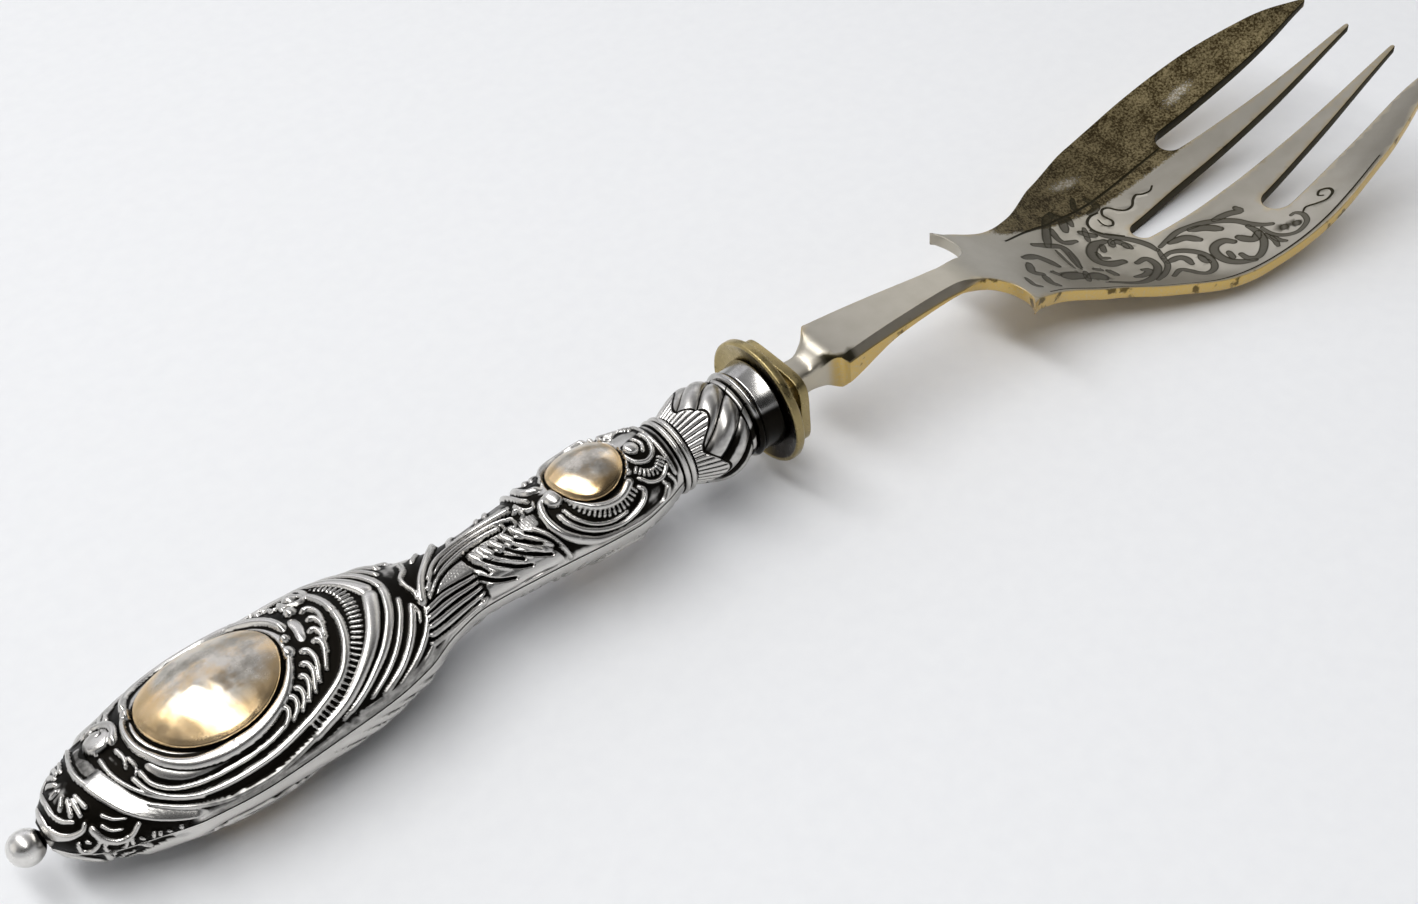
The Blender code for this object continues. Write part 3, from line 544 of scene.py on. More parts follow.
# %% [markdown]
# Past the cartouche the same sweep goes on as a fan of ridges with a ribbed channel between two of them, like
# the lip of a scallop. Each ridge is round on top and undercut by a dark line, so the row reads as folds.

# %% Fan of ridges and its ribbed channel
CHANNEL_SPACING = 0.84
both_sides(0.6, 0.65, 0.68, ((36, -11.5), (38, -10.8), (42, -9.0), (44.2, -7.2), (46, -4.5), (47, -1.6), (47.3, 1)),
           fullness=0.5)
channel = ((36.4, -12.4), (38, -11.9), (40, -11.0), (42, -9.9), (44, -8.5), (46, -6.7), (47.5, -4.9), (48.8, -2.5),
           (49.5, 0.2), (49.7, 3.0), (49.2, 5.6), (47.4, 8.6), (44.4, 11.2), (41, 13.2))
relief.ribs(channel, CHANNEL_SPACING, 1.7, 0.28, 0.4)
both_sides(0.6, 1.2, 0.85, (
    (36, -13.7), (38, -13.0), (42, -11.5), (46, -8.8), (49, -6.0), (51, -3.0), (52.3, -0.2), (52.6, 1)), fullness=0.45)
both_sides(0.5, 0.76, 0.68, (
    (40.5, -13.5), (44, -11.9), (47, -10.0), (50, -7.6), (52.7, -4.2), (54.1, -1.0), (54.5, 1)), fullness=0.55)
both_sides(0.36, 0.42, 0.5, ((45, -12.9), (48.8, -10.6), (51.8, -7.9), (54.2, -4.6), (55.4, -2.0)))
both_sides(0.54, 0.56, 0.58, ((46.6, -13.4), (50.4, -11.2), (53.4, -8.4), (55.4, -5.6), (56.3, -3.9)))
both_sides(0.48, 0.46, 0.54, ((49, -13.4), (52.6, -11.2), (55.4, -8.8), (57.2, -6.4), (57.9, -4.6)))
both_sides(0.46, 0.44, 0.5, ((50.6, -13.6), (54.4, -11.4), (57.2, -9.0), (59.0, -6.6)))
both_sides(0.46, 0.44, 0.5, ((52.6, -13.4), (56.4, -11.4), (59.4, -9.0), (61.0, -7.2)))
# Wavy lip where the fan meets the spray on the waist
relief.stroke(0.5, 0.34, 0.72, ((58.9, 4.2), (58.5, 2.2), (57.4, 0.8), (57.3, -0.8), (57.7, -2.2), (57.4, -3.6)))
relief.stroke(0.34, 0.24, 0.62, ((56.2, -3.6), (56.6, -5.0), (55.9, -6.6)))
# Round eye on the far side with the scroll that winds into it
relief.blow(relief.raised, (44.0, 8.4), 1.3, 1.05, 0.5)
relief.stroke(0.5, 0.7, 0.7, ((42.3, 8.8), (43.0, 6.6), (45.0, 6.2), (46.0, 8.2), (45.2, 10.6), (42.8, 12.4)))
# Plain lip along the seams, with the wear nicks that show the sheet is thin there
both_sides(1.2, 1.0, 0.34, ((19, -15.0), (25, -16.4), (31, -16.6), (37, -15.8), (40.6, -14.8)), fullness=0.4)
both_sides(1.0, 0.7, 0.34, ((44, -14.6), (48, -14.0), (52, -12.6), (56, -11.0)), fullness=0.4)
for x, s in ((17.6, -14.4), (22.4, -16.2), (27.0, -16.4), (42.0, -14.6)):
    relief.stroke(0.28, 0.2, 0.35, ((x, s - 1.0), (x + 0.3, s + 0.2), (x + 0.6, s + 1.0)), sink=True)
relief.stroke(0.9, 0.7, 0.5, ((41.2, -13.6), (42.2, -15.4)), sink=True)
print("ribs in the channel", round(lengths_along(np.array(channel))[-1] / CHANNEL_SPACING))

# %% [markdown]
# The very end of the butt is a small shell with beaded ribs, between two scalloped leaves that fold round it.

# %% Shell at the butt
BUTT_RIBS, BUTT_RIB_TURN, BUTT_RIB_PLACE = 9, 28, 7.6
both_sides(0.5, 0.4, 0.5, ((3.1, 1.2), (3.1, -1.2), (3.7, -3.2), (5.0, -4.9), (6.6, -5.7), (7.4, -5.2)))
both_sides(0.3, 0.3, 0.4, ((4.6, 1.2), (4.6, -1.0), (5.2, -2.8), (6.4, -4.2)))
for k in range(BUTT_RIBS):
    turn = math.radians(BUTT_RIB_TURN * (k - BUTT_RIBS // 2))
    inner = (BUTT_RIB_PLACE - 1.0 * math.cos(turn), MIRROR_LINE + 2.6 * math.sin(turn))
    outer = (BUTT_RIB_PLACE - 2.2 * math.cos(turn), MIRROR_LINE + 5.4 * math.sin(turn))
    relief.stroke(0.32, 0.42, 0.45, (inner, outer))
both_sides(0.55, 0.4, 0.55, ((7.6, -6.2), (8.2, -8.4), (9.6, -10.0), (11.2, -10.4), (12.8, -9.6)))
both_sides(0.35, 0.2, 0.4, ((8.8, -6.8), (9.6, -8.2), (10.8, -9.0)))
both_sides(0.35, 0.2, 0.4, ((9.4, -5.8), (10.4, -7.2), (11.8, -8.2)))
for x, s in ((6.6, -7.6), (9.2, -10.2), (12.2, -12.0), (15.4, -13.6)):
    both_sides(0.34, 0.3, 0.6, ((x - 1.1, s + 1.3), (x - 1.3, s + 0.1), (x - 0.4, s - 0.9), (x + 0.9, s - 0.9),
                                (x + 1.5, s + 0.2)))
    both_sides(0.3, 0.2, 0.4, ((x - 0.3, s + 0.7), (x + 0.2, s - 0.1)))
relief.stroke(0.4, 0.25, 0.5, ((14.9, 0.4), (15.2, -1.6), (14.8, -3.0)))
relief.stroke(0.35, 0.2, 0.5, ((15.6, -1.8), (15.9, -3.6), (15.3, -4.6)))
relief.stroke(0.35, 0.2, 0.5, ((15.2, 5.6), (15.9, 7.6), (17.6, 9.4)))
print("butt ribs", BUTT_RIBS)

# %% [markdown]
# An acanthus spray grows out of the fan and lies along the waist. Its stems are paired ridges, its leaves are
# cut by veins, and the ground between them is hatched with a liner so that it stays greyer than the recesses.

# %% Acanthus on the waist
FALLING_LEAVES = (67.7, 69.4, 71.0, 72.7, 74.4)
# Broad low leaves first
for path in (((58.6, -3.4), (61.4, -2.7), (65.0, -2.2)), ((67.2, -1.9), (71.4, -2.0), (77.4, -2.2)),
             ((67.6, -4.6), (71.0, -5.2), (76.6, -6.4)), ((67.4, -7.0), (72.0, -7.6), (77.2, -8.8))):
    relief.stroke(1.4, 1.6, 0.45, path, fullness=0.2)
# Stems, a bundle of ridges that bends along the top, parted by cut lines
relief.stroke(0.7, 0.4, 0.95, ((57.6, -4.4), (59.4, -1.2), (61.8, 1.6), (64.0, 4.4), (65.0, 6.8), (65.2, 9.0)),
              fullness=0.45)
STEMS = (((60.2, -1.6), (62.6, 0.6), (65.5, 1.7), (69, 2.1), (72.5, 1.9), (75.6, 1.5)),
         ((59.2, -3.0), (62, -0.6), (65, 0.6), (68.5, 1.1), (72, 0.9), (74.4, 0.2)),
         ((58.9, -4.0), (61.5, -1.8), (64.5, -0.5), (67.5, 0.1), (70.5, 0.1), (72.8, -0.3)))
for path in STEMS:
    relief.stroke(0.42, 0.36, 0.92, path, fullness=0.5)
    relief.stroke(0.26, 0.22, 0.4, [(x + 0.15, s - 0.52) for x, s in path], sink=True)
relief.stroke(0.4, 0.25, 0.5, ((60.4, 3.4), (61.9, 5.6), (62.8, 8.0)))
relief.ribs(((65.8, 3.1), (69, 3.6), (73, 3.3), (76.2, 2.6)), 0.5, 0.8, 0.3, 0.18)
relief.stroke(0.6, 0.5, 0.34, ((66.4, 3.9), (67.4, 6.0), (67.6, 8.6)), fullness=0.5)
for x in (71.4, 72.9):
    relief.stroke(0.45, 0.3, 0.4, ((x, 4.4), (x + 0.6, 6.0), (x + 0.7, 8.0)), fullness=0.5)
# Leaves that fan back from the knot towards the seam, each a ridge with a cut on either side
for k in range(5):
    path = ((57.8 - 0.5 * k, -5.4 - 1.15 * k), (60.2, -4.6 - 1.1 * k), (63.0, -4.2 - 1.0 * k), (66.0, -4.1 - 0.85 * k))
    relief.stroke(0.5, 0.36, 0.72, path, fullness=0.3)
    relief.stroke(0.16, 0.26, 0.5, [(x, s + 0.46) for x, s in path], sink=True)
# Slits between the leaves that fall away from the knot towards the neck
for path in (((66.3, -0.9), (66.6, -2.4), (67.4, -3.6), (68.0, -4.8)), ((66.6, -4.6), (68.4, -6.2), (71.0, -7.4)),
             ((68.2, -2.8), (69.6, -4.4), (71.8, -6.2), (73.8, -7.2)), ((70.0, -3.0), (71.4, -4.5), (73.2, -5.9)),
             ((71.6, -3.2), (73.2, -5.0), (75.4, -6.6), (77.0, -7.6)), ((73.4, -3.0), (75.0, -4.5), (76.6, -5.6)),
             ((75.2, -3.0), (77.0, -4.8), (78.4, -7.2)), ((66.8, -8.6), (70.6, -8.7), (74.6, -9.0), (77.2, -9.7))):
    relief.stroke(0.36, 0.24, 0.6, path, sink=True)
relief.stroke(0.5, 0.45, 0.85, ((65.2, -6.6), (65.4, -8.0), (64.8, -9.4)), fullness=0.45)
for x in FALLING_LEAVES:
    tip = (x + 3.3, -5.9 - 0.1 * (x - FALLING_LEAVES[0]))
    relief.stroke(0.6, 0.36, 0.7, ((x - 0.5, -1.0), (x + 0.1, -2.4), (x + 1.5, -4.4), tip), fullness=0.3)
relief.stroke(0.5, 0.4, 0.8, ((76.4, -3.0), (77.8, -5.2), (78.9, -8.0), (79.3, -10.2)))
for x, s in ((72.9, -0.3), (74.6, -0.6), (76.2, 0.0)):
    relief.stroke(0.42, 0.22, 0.9, ((x - 0.5, s + 0.7), (x + 0.3, s + 0.5), (x + 0.5, s - 0.5), (x - 0.1, s - 0.9)))
relief.stroke(0.4, 0.3, 0.85, ((76.6, 1.8), (77.2, -0.1), (78.4, -0.6), (79.0, 0.4)))
relief.stroke(0.5, 0.34, 0.8, ((77.2, 8.0), (77.2, 5.0), (77.8, 2.2), (78.6, 0.9)))
# Fine hatching on the flat ground
spray_lines, knot_lines = np.arange(67.4, 78.6, 0.42), np.arange(59.8, 65.8, 0.46)
for x in spray_lines:
    relief.stroke(0.12, 0.12, 0.05, ((x, -0.9), (x + 0.1, -1.9), (x + 0.3, -2.6)), sink=True)
for x in knot_lines:
    on = x - knot_lines[0]
    relief.stroke(0.11, 0.11, 0.09, ((x, -3.4 + on * 0.1), (x + 0.5, -2.3 + on * 0.16)), sink=True)
print("lines of hatching", len(spray_lines) + len(knot_lines))

# %% [markdown]
# The small cartouche near the neck sits in its own C-scroll with a fluted lip, and a little shell closes the
# design against the neck ring.

# %% Scrolls round the small cartouche
relief.blow(relief.raised, (81.4, -1.1), 1.5, 1.2, 0.3)
both_sides(0.7, 0.75, 0.72, ((81.0, -0.2), (79.4, -1.0), (78.8, -3.4), (79.6, -6.0), (81.6, -8.4)), fullness=0.55)
both_sides(0.75, 0.5, 0.72, ((81.2, -8.0), (84, -10.0), (88, -11.1), (92, -11.2), (95.4, -10.2), (97.2, -8.0)),
           fullness=0.55)
both_sides(0.45, 0.45, 0.6, ((80.6, -3.6), (81, -5.2), (82.4, -7.2), (84.8, -8.9), (87.6, -9.8), (90.2, -9.6),
                             (92.2, -8.7), (93.2, -7.3), (92.6, -6.5)))
both_sides(0.35, 0.35, 0.45, ((81.6, -3.4), (82.2, -5.2), (84.0, -7.4), (86.6, -8.7), (89.4, -8.8)))
lip = ((83.2, -2.8), (83.8, -4.4), (85.2, -6.2), (87.4, -7.5), (89.8, -7.5), (91.8, -6.5))
for path in (lip, far_twin(lip)):
    relief.ribs(path, 0.72, 1.3, 0.27, 0.5)
both_sides(0.55, 0.65, 0.95, ((82.7, -0.8), (83.3, -3.0), (85.0, -5.2), (87.4, -6.4), (89.8, -6.4), (92.0, -5.2)),
           fullness=0.3)
for x, s in ((92.6, -3.8), (93.0, -2.4), (93.2, 4.2), (92.4, 5.8), (82.4, 3.4), (83.2, 5.0)):
    relief.blow(relief.raised, (x, s), 0.6, 0.75, 0.55)
# Shell at the neck
relief.blow(relief.raised, (95.4, -0.7), 1.15, 1.0, 0.3)
relief.stroke(0.4, 0.4, 0.6, (
    (93.9, 0.8), (93.8, -1.4), (94.6, -3.0), (96.2, -3.5), (97.8, -2.6), (98.5, -0.6), (98.3, 1.4)))
relief.stroke(0.35, 0.35, 0.5, ((96.8, 1.0), (97.3, -0.6), (96.6, -1.9)))
relief.ribs(((93.6, -3.9), (95.0, -5.1), (96.8, -5.3), (98.4, -4.0)), 0.6, 1.1, 0.25, 0.5)
relief.stroke(0.35, 0.35, 0.5, ((93.4, -5.4), (94.8, -6.6), (96.8, -6.7), (98.6, -5.2)))
relief.stroke(0.35, 0.25, 0.5, ((96.6, -7.2), (97.2, -8.4), (96.6, -9.8)))
relief.stroke(0.35, 0.25, 0.5, ((98.0, -6.6), (98.6, -8.0), (98.2, -9.4)))
relief.ribs(((94.0, 3.6), (95.6, 5.2), (97.4, 5.2), (98.6, 3.8)), 0.6, 1.4, 0.25, 0.5)
relief.stroke(0.4, 0.35, 0.55, ((93.8, 6.4), (95.4, 7.2), (97.4, 6.8), (98.6, 5.4)))
both_sides(0.35, 0.35, 0.45, ((99.1, 1.0), (99.2, -3.0), (99.2, -7.0)))
print("tallest stroke", round(float(relief.raised.max()), 2), "mm, deepest cut", round(float(relief.sunk.max()), 2))

# %% [markdown]
# Now the die is fitted to the handle. The bed of each cartouche is sunk so that the gilt dome sits in it, and the
# pattern dies away at the seams and at both ends.

# %% Beds and seams
# Station and offset of each cartouche's middle, half length and half width
LARGE_PLAQUE = (SHELL_START + 0.266 * (SHELL_END - SHELL_START), 1.2, 10.0, 9.1)
SMALL_PLAQUE = (SHELL_START + 0.873 * (SHELL_END - SHELL_START), 0.8, 5.6, 6.0)
SEAT_DEPTH, SEAT_MARGIN, SEAT_SLOPE = 0.35, 0.2, 0.35
RELIEF_FADE, SEAM_FADE, BUTT_SEAM_FADE = 1.0, 1.3, 0.4
BUTT_LEAVES, BUTT_SOFT = 22.0, 5.0


def outside_oval(oval, stations, offsets, margin):
    """Distance outside an oval widened by a margin, negative inside it."""
    station, offset, half_length, half_width = oval
    reach = np.hypot((stations - station) / (half_length + margin), (offsets - offset) / (half_width + margin))
    return (reach - 1) * (min(half_length, half_width) + margin)


columns = relief.stations[:, None]
heights = relief.raised - relief.sunk
for oval in (LARGE_PLAQUE, SMALL_PLAQUE):
    bed = 1 - smooth_step(outside_oval(oval, columns, relief.offsets, SEAT_MARGIN) / SEAT_SLOPE)
    heights = heights + (-SEAT_DEPTH - heights) * bed
to_ends = np.minimum(columns - SHELL_START, SHELL_END - columns)
to_seams = relief.half_girth[:, None] / 2 - np.abs(relief.offsets)
seam_fade = SEAM_FADE + (BUTT_SEAM_FADE - SEAM_FADE) * smooth_step((BUTT_LEAVES - columns) / BUTT_SOFT)
heights = heights * smooth_step(to_ends / RELIEF_FADE) * smooth_step(to_seams / seam_fade)
print("relief from", round(float(heights.min()), 2), "to", round(float(heights.max()), 2), "mm")

# %% [markdown]
# A cloth can't reach a point that lies below its surroundings, so the tarnish of a point is how far it lies below the
# mean height of the few millimetres around it. A few places were wiped less than that gives, and keep a film. The
# lower near flank of the grip is darkened with painted shade, and the root of the broad scroll with a painted dark
# reflection.

# %% Tarnish in the recesses, and painted shade
# Grid points to either side over which a mean is taken, and what a dip below each mean counts for
CLOSE_DIP, WIDE_DIP = (4, 0.75), (12, 0.65)
DIP_START, DIP_RANGE = 0.02, 0.2
WIPED, WIPED_FROM, WIPED_SOFT = 0.35, 0.6, 1.6
GROUND_HEIGHT, GROUND_SOFT = 0.34, 0.2
# Strength of the film at the butt, of the painted shade on the grip's lower near flank, of the film on the waist and
# of the painted dark reflection at the scroll's root
BUTT_FILM, GRIP_PAINTED_SHADE, WAIST_FILM, ROOT_PAINTED_REFLECTION = 0.95, 0.43, 0.5, 0.55
# Start and softness, end and softness of each film and painted shade, along the handle or round it
GRIP_REACH, WAIST_REACH = (17.0, 5.0, 62.0, 6.0), (60.0, 4.0, 82.0, 3.0)
ROOT_REACH, ROOT_WIDTH = (9.8, 0.4, 12.4, 0.6), (-2.6, 2.0, 6.0, 1.5)
BUTT_END, BUTT_END_SOFT, BUTT_SIDE, BUTT_SIDE_SOFT = 21.0, 4.0, 3.5, 1.5
GRIP_SIDE, GRIP_SIDE_SOFT, WAIST_SIDE, WAIST_SIDE_SOFT = 5.0, 3.0, 3.4, 0.8


def blurred(values, radius):
    """Mean over a square of grid points."""
    for axis in (0, 1):
        width = [(radius + 1, radius) if a == axis else (0, 0) for a in (0, 1)]
        sums = np.cumsum(np.pad(values, width, mode="edge"), axis=axis)
        size = values.shape[axis]
        window = 2 * radius + 1
        values = (np.take(sums, range(window, window + size), axis) - np.take(sums, range(size), axis)) / window
    return values


dips = sum(weight * (blurred(heights, radius) - heights) for radius, weight in (CLOSE_DIP, WIDE_DIP))
tarnish_and_shade_marks = smooth_step((dips + DIP_START) / DIP_RANGE)
# Plain ground near the seams is wiped clean
tarnish_and_shade_marks *= WIPED + (1 - WIPED) * smooth_step((to_seams - WIPED_FROM) / WIPED_SOFT)
ground = smooth_step((GROUND_HEIGHT - heights) / GROUND_SOFT)
off_middle = np.abs(relief.offsets - MIRROR_LINE)
butt = smooth_step((BUTT_END - columns) / BUTT_END_SOFT) * smooth_step((off_middle - BUTT_SIDE) / BUTT_SIDE_SOFT)
# Painted shade on the lower near flank of the grip
near_flank = smooth_step((GRIP_SIDE - to_seams) / GRIP_SIDE_SOFT) * (relief.offsets < 0)
painted_grip_shade = near_flank * between(columns, *GRIP_REACH)
waist = smooth_step((relief.offsets - WAIST_SIDE) / WAIST_SIDE_SOFT) * between(columns, *WAIST_REACH)
# Painted dark reflection at the root of the broad scroll
root = between(columns, *ROOT_REACH) * between(relief.offsets, *ROOT_WIDTH)
for film_and_shade_marks in (
    BUTT_FILM * ground * butt,  # no cloth gets between the crowded leaves at the butt, down to the seam
    GRIP_PAINTED_SHADE * painted_grip_shade,  # painted shade on the lower near flank of the grip
    WAIST_FILM * ground * waist,  # and on the far flank of the waist
    ROOT_PAINTED_REFLECTION * root,  # painted dark reflection at the root of the broad scroll
):
    tarnish_and_shade_marks = np.maximum(tarnish_and_shade_marks, film_and_shade_marks)
print("mean tarnish", round(float(tarnish_and_shade_marks.mean()), 2))

# %% [markdown]
# Each shell is that relief outside and the plain oval inside, one sheet of silver thick. The back was struck from the
# same die and turned half round. It is rubbed flat along its seams, where the fork is laid down.

# %% Embossed half-shells
# Where the flat strip along the back's seams widens, over what length, and by how much
BACK_FADES = ((14.0, 8.0, 3.5), (54.0, 6.0, 4.5))
INNER_POINTS = 9
back_fade = sum((more * smooth_step((columns - start) / length) for start, length, more in BACK_FADES), BUTT_SEAM_FADE)


def half_shell(name, side, thin):
    """Half-shell on one side; every so many grid lines are kept."""
    stations, angles = relief.stations[::thin], relief.angles[::thin, ::thin]
    kept = 1.0 if side > 0 else smooth_step(to_seams / back_fade)
    outer = on_handle(stations[:, None], angles, (heights * kept)[::thin, ::thin])
    inner_angles = np.broadcast_to(np.linspace(math.pi, 0.0, INNER_POINTS), (len(stations), INNER_POINTS))
    inner = on_handle(stations[:, None], inner_angles, np.full(inner_angles.shape, -SHEET))
    points = np.concatenate((outer, inner), axis=1) * np.array((1.0, side, side))
    marks = np.concatenate(((tarnish_and_shade_marks * kept)[::thin, ::thin], np.ones(inner_angles.shape)), axis=1)
    faces = loop_faces(points.shape[0], points.shape[1])
    make_piece("dressed_" + name, points.reshape(-1, 3), faces, oxidised_silver, name,
               {"tarnish_and_shade": marks.ravel()}, crease=70)


half_shell("handle_front_shell", 1, 1)
half_shell("handle_back_shell", -1, 2)

# %% [markdown]
# The cartouches are thin gilt domes. Gilding on silver wears where the hand closes on it, so the crown shows
# pale silver through a peach-coloured film that stays richest round the edge. Fine scratches cross in every
# direction, which the eye sees as a soft, slightly milky highlight.

# %% Fire gilding, worn on the crown
FRESH_GILT = to_linear("#D6B480")
PALE_GILT = to_linear("#E2CAA4")
BARE_SILVER = to_linear("#D2CCC2")
GREY_BLOOM = to_linear("#9A958A")

cartouche_gilt, tree, shader, place = start_material("fire gilding, worn by handling")
crown = add_node(tree, "ShaderNodeAttribute", attribute_name="crown").outputs["Fac"]
# Wear comes in cloudy patches of four millimetres, broken up by half-millimetre specks
clouds = add_node(tree, "ShaderNodeTexNoise", {
    "Vector": place, "Scale": pattern_scale(4.5), "Detail": 6.0, "Roughness": 0.62})
wear = add_node(tree, "ShaderNodeMath", {0: clouds.outputs["Fac"], 1: crown}, operation="MULTIPLY")
bare = add_node(tree, "ShaderNodeMapRange", {"Value": wear.outputs[0], "From Min": 0.24, "From Max": 0.5})
# The bare silver has dulled again in grey blotches
blotches = add_node(tree, "ShaderNodeTexNoise", {
    "Vector": place, "Scale": pattern_scale(3.2), "Detail": 7.0, "Roughness": 0.68})
bloom = add_node(tree, "ShaderNodeMapRange", {
    "Value": blotches.outputs["Fac"], "From Min": 0.44, "From Max": 0.66, "To Max": 0.8})
bloomed = add_node(tree, "ShaderNodeMix", {
    FACTOR: bloom.outputs[0], COLOUR_A: BARE_SILVER, COLOUR_B: GREY_BLOOM}, data_type="RGBA")
film = add_node(tree, "ShaderNodeTexNoise", {"Vector": place, "Scale": pattern_scale(2.2), "Detail": 4.0})
gold = add_node(tree, "ShaderNodeMix", {
    FACTOR: film.outputs["Fac"], COLOUR_A: FRESH_GILT, COLOUR_B: PALE_GILT}, data_type="RGBA")
colour = add_node(tree, "ShaderNodeMix", {FACTOR: bare.outputs[0], COLOUR_A: gold.outputs[COLOUR_OUT],
                                          COLOUR_B: bloomed.outputs[COLOUR_OUT]}, data_type="RGBA")
haze = add_node(tree, "ShaderNodeMapRange", {
    "Value": clouds.outputs["Fac"], "From Min": 0.3, "From Max": 0.7, "To Min": 0.12, "To Max": 0.34})
scratches = add_node(tree, "ShaderNodeTexNoise", {
    "Vector": place, "Scale": pattern_scale(0.5), "Detail": 6.0, "Roughness": 0.7, "Distortion": 1.5})
bump = add_node(tree, "ShaderNodeBump", {
    "Height": scratches.outputs["Fac"], "Strength": 0.1, "Distance": 0.05 * MM})
set_inputs(tree, shader, {"Base Color": colour.outputs[COLOUR_OUT], "Roughness": haze.outputs[0],
                          "Normal": bump.outputs[0], "Metallic": 1.0})
print("made", cartouche_gilt.name)

# %% [markdown]
# Each dome was raised from a flat oval over a stake. Its rim is turned down and rounded, and its crown is a
# little uneven, because the sheet was planished by hand.

# %% Cartouches
PLAQUE_EDGE, PLAQUE_DOME, DOME_POWER = 0.5, 0.8, 2.4
RIM_ROUNDING, UNEVENNESS = 0.3, 0.05
WORN_PLACE, WORN_LEVEL, WORN_POWER = (0.16, 0.13), 1.2, 2.5
DOME_RINGS, DOME_STEPS, RIM_STEPS = 26, 120, 6


def cartouche(name, oval, side):
    """Domed gilt oval in its bed."""
    station, offset, half_length, half_width = oval
    under = CLEARANCE - SEAT_DEPTH
    reaches = [0.05, 0.6, 1.0]
    levels = [under] * len(reaches)
    for turn in np.linspace(0.0, math.pi / 2, RIM_STEPS):
        reaches.append(1 - RIM_ROUNDING / half_width * (1 - math.cos(turn)))
        levels.append(under + PLAQUE_EDGE - RIM_ROUNDING * (1 - math.sin(turn)))
    for reach in np.linspace(reaches[-1], 0.03, DOME_RINGS)[1:]:
        reaches.append(reach)
        levels.append(under + PLAQUE_EDGE + PLAQUE_DOME * (1 - reach ** DOME_POWER))
    turns = np.linspace(0.0, 2 * math.pi, DOME_STEPS, endpoint=False)
    reach = np.array(reaches)[:, None]
    stations = station + half_length * reach * np.cos(turns)
    offsets = offset + half_width * reach * np.sin(turns)
    # Hammer marks of two sizes, about seven and three millimetres apart
    unevenness = UNEVENNESS * (np.sin(0.9 * stations + 0.5 * offsets) * np.sin(0.7 * offsets - 0.35 * stations)
                               + 0.4 * np.sin(2.3 * stations - 1.1 * offsets) * np.sin(1.9 * offsets + 0.8 * stations))
    levels = np.array(levels)[:, None] + unevenness * (1 - reach)
    angles, travel = girth(stations.ravel())
    wanted = travel[:, -1] / 2 - offsets.ravel()
    turned_angles = np.array([np.interp(w, row, angles) for w, row in zip(wanted, travel)])
    points = on_handle(stations.ravel(), turned_angles, levels.ravel()) * np.array((1.0, side, side))
    # The bare patch lies a little off the middle, where the hand closes
    from_worn = np.hypot((stations - station) / half_length - WORN_PLACE[0],
                         (offsets - offset) / half_width - WORN_PLACE[1])
    crown_marks = np.clip(WORN_LEVEL - from_worn ** WORN_POWER, 0.0, 1.0)
    make_piece("dressed_" + name, points, loop_faces(*stations.shape), cartouche_gilt, name,
               {"crown": crown_marks.ravel()}, crease=60)


for side, word in ((1, "front"), (-1, "back")):
    cartouche(word + "_large_cartouche", LARGE_PLAQUE, side)
    cartouche(word + "_small_cartouche", SMALL_PLAQUE, side)

# %% [markdown]
# The ball, the ring and the collar came off a lathe. Turned silver is brighter and tighter than stamped
# silver, with a thin grey film and small dings from use, and the grooves still keep a thread of tarnish.

# %% Polished silver, turned and burnished
BRIGHT_SILVER = to_linear("#E4E2DE")
GREY_FILM = to_linear("#8E8B86")

polished_silver, tree, shader, place = start_material("polished silver, turned and burnished")
tarnish_and_shade = add_node(tree, "ShaderNodeAttribute", attribute_name="tarnish_and_shade").outputs["Fac"]
film = add_node(tree, "ShaderNodeTexNoise", {"Vector": place, "Scale": pattern_scale(3.0), "Detail": 5.0})
thin_film = add_node(tree, "ShaderNodeMapRange", {
    "Value": film.outputs["Fac"], "From Min": 0.45, "From Max": 0.8, "To Max": 0.7})
clean = add_node(tree, "ShaderNodeMix", {
    FACTOR: thin_film.outputs[0], COLOUR_A: BRIGHT_SILVER, COLOUR_B: GREY_FILM}, data_type="RGBA")
dark = add_node(tree, "ShaderNodeMapRange", {
    "Value": tarnish_and_shade, "From Min": 0.1, "From Max": 0.7}, interpolation_type="SMOOTHSTEP")
colour = add_node(tree, "ShaderNodeMix", {
    FACTOR: dark.outputs[0], COLOUR_A: clean.outputs[COLOUR_OUT], COLOUR_B: SOOT_AND_SHADE}, data_type="RGBA")
gloss = add_node(tree, "ShaderNodeMapRange", {
    "Value": film.outputs["Fac"], "From Min": 0.3, "From Max": 0.7, "To Min": 0.14, "To Max": 0.27})
# A piece that is handled most has lost its burnish
worn = add_node(tree, "ShaderNodeAttribute", attribute_name="worn").outputs["Fac"]
dulled = add_node(tree, "ShaderNodeMath", {0: worn, 1: 0.2, 2: gloss.outputs[0]}, operation="MULTIPLY_ADD")
dings = add_node(tree, "ShaderNodeTexNoise", {"Vector": place, "Scale": pattern_scale(0.6), "Detail": 4.0})
bump = add_node(tree, "ShaderNodeBump", {"Height": dings.outputs["Fac"], "Strength": 0.1, "Distance": 0.06 * MM})
set_inputs(tree, shader, {"Base Color": colour.outputs[COLOUR_OUT], "Roughness": dulled.outputs[0],
                          "Normal": bump.outputs[0], "Metallic": 1.0})
print("made", polished_silver.name)

# %% [markdown]
# A turned piece is its profile carried round the axis. The profile is given as stations and radii, outer side
# first, and closes through the bore that the tang passes. Points that lie below their neighbours on the profile
# are grooves, and get the tarnish. The ball has a peg instead of a bore.

# %% Lathe and finial ball
TURNED_STEPS, BORE = 144, 3.0
NEAR_FROM, NEAR_TO, NEAR_SOFT = math.radians(132), math.radians(232), math.radians(26)


def carried_round(stations, radii, turns):
    """Points at stations and radii, at each turn about the axis."""
    return np.stack(np.broadcast_arrays(stations, radii * np.cos(turns), radii * np.sin(turns)), axis=-1)


def painted_reflection_side(turns):
    """1 on the near side of the handle, where a dark reflection is painted, fading out above and below."""
    return between(turns, NEAR_FROM, NEAR_SOFT, NEAR_TO, NEAR_SOFT)


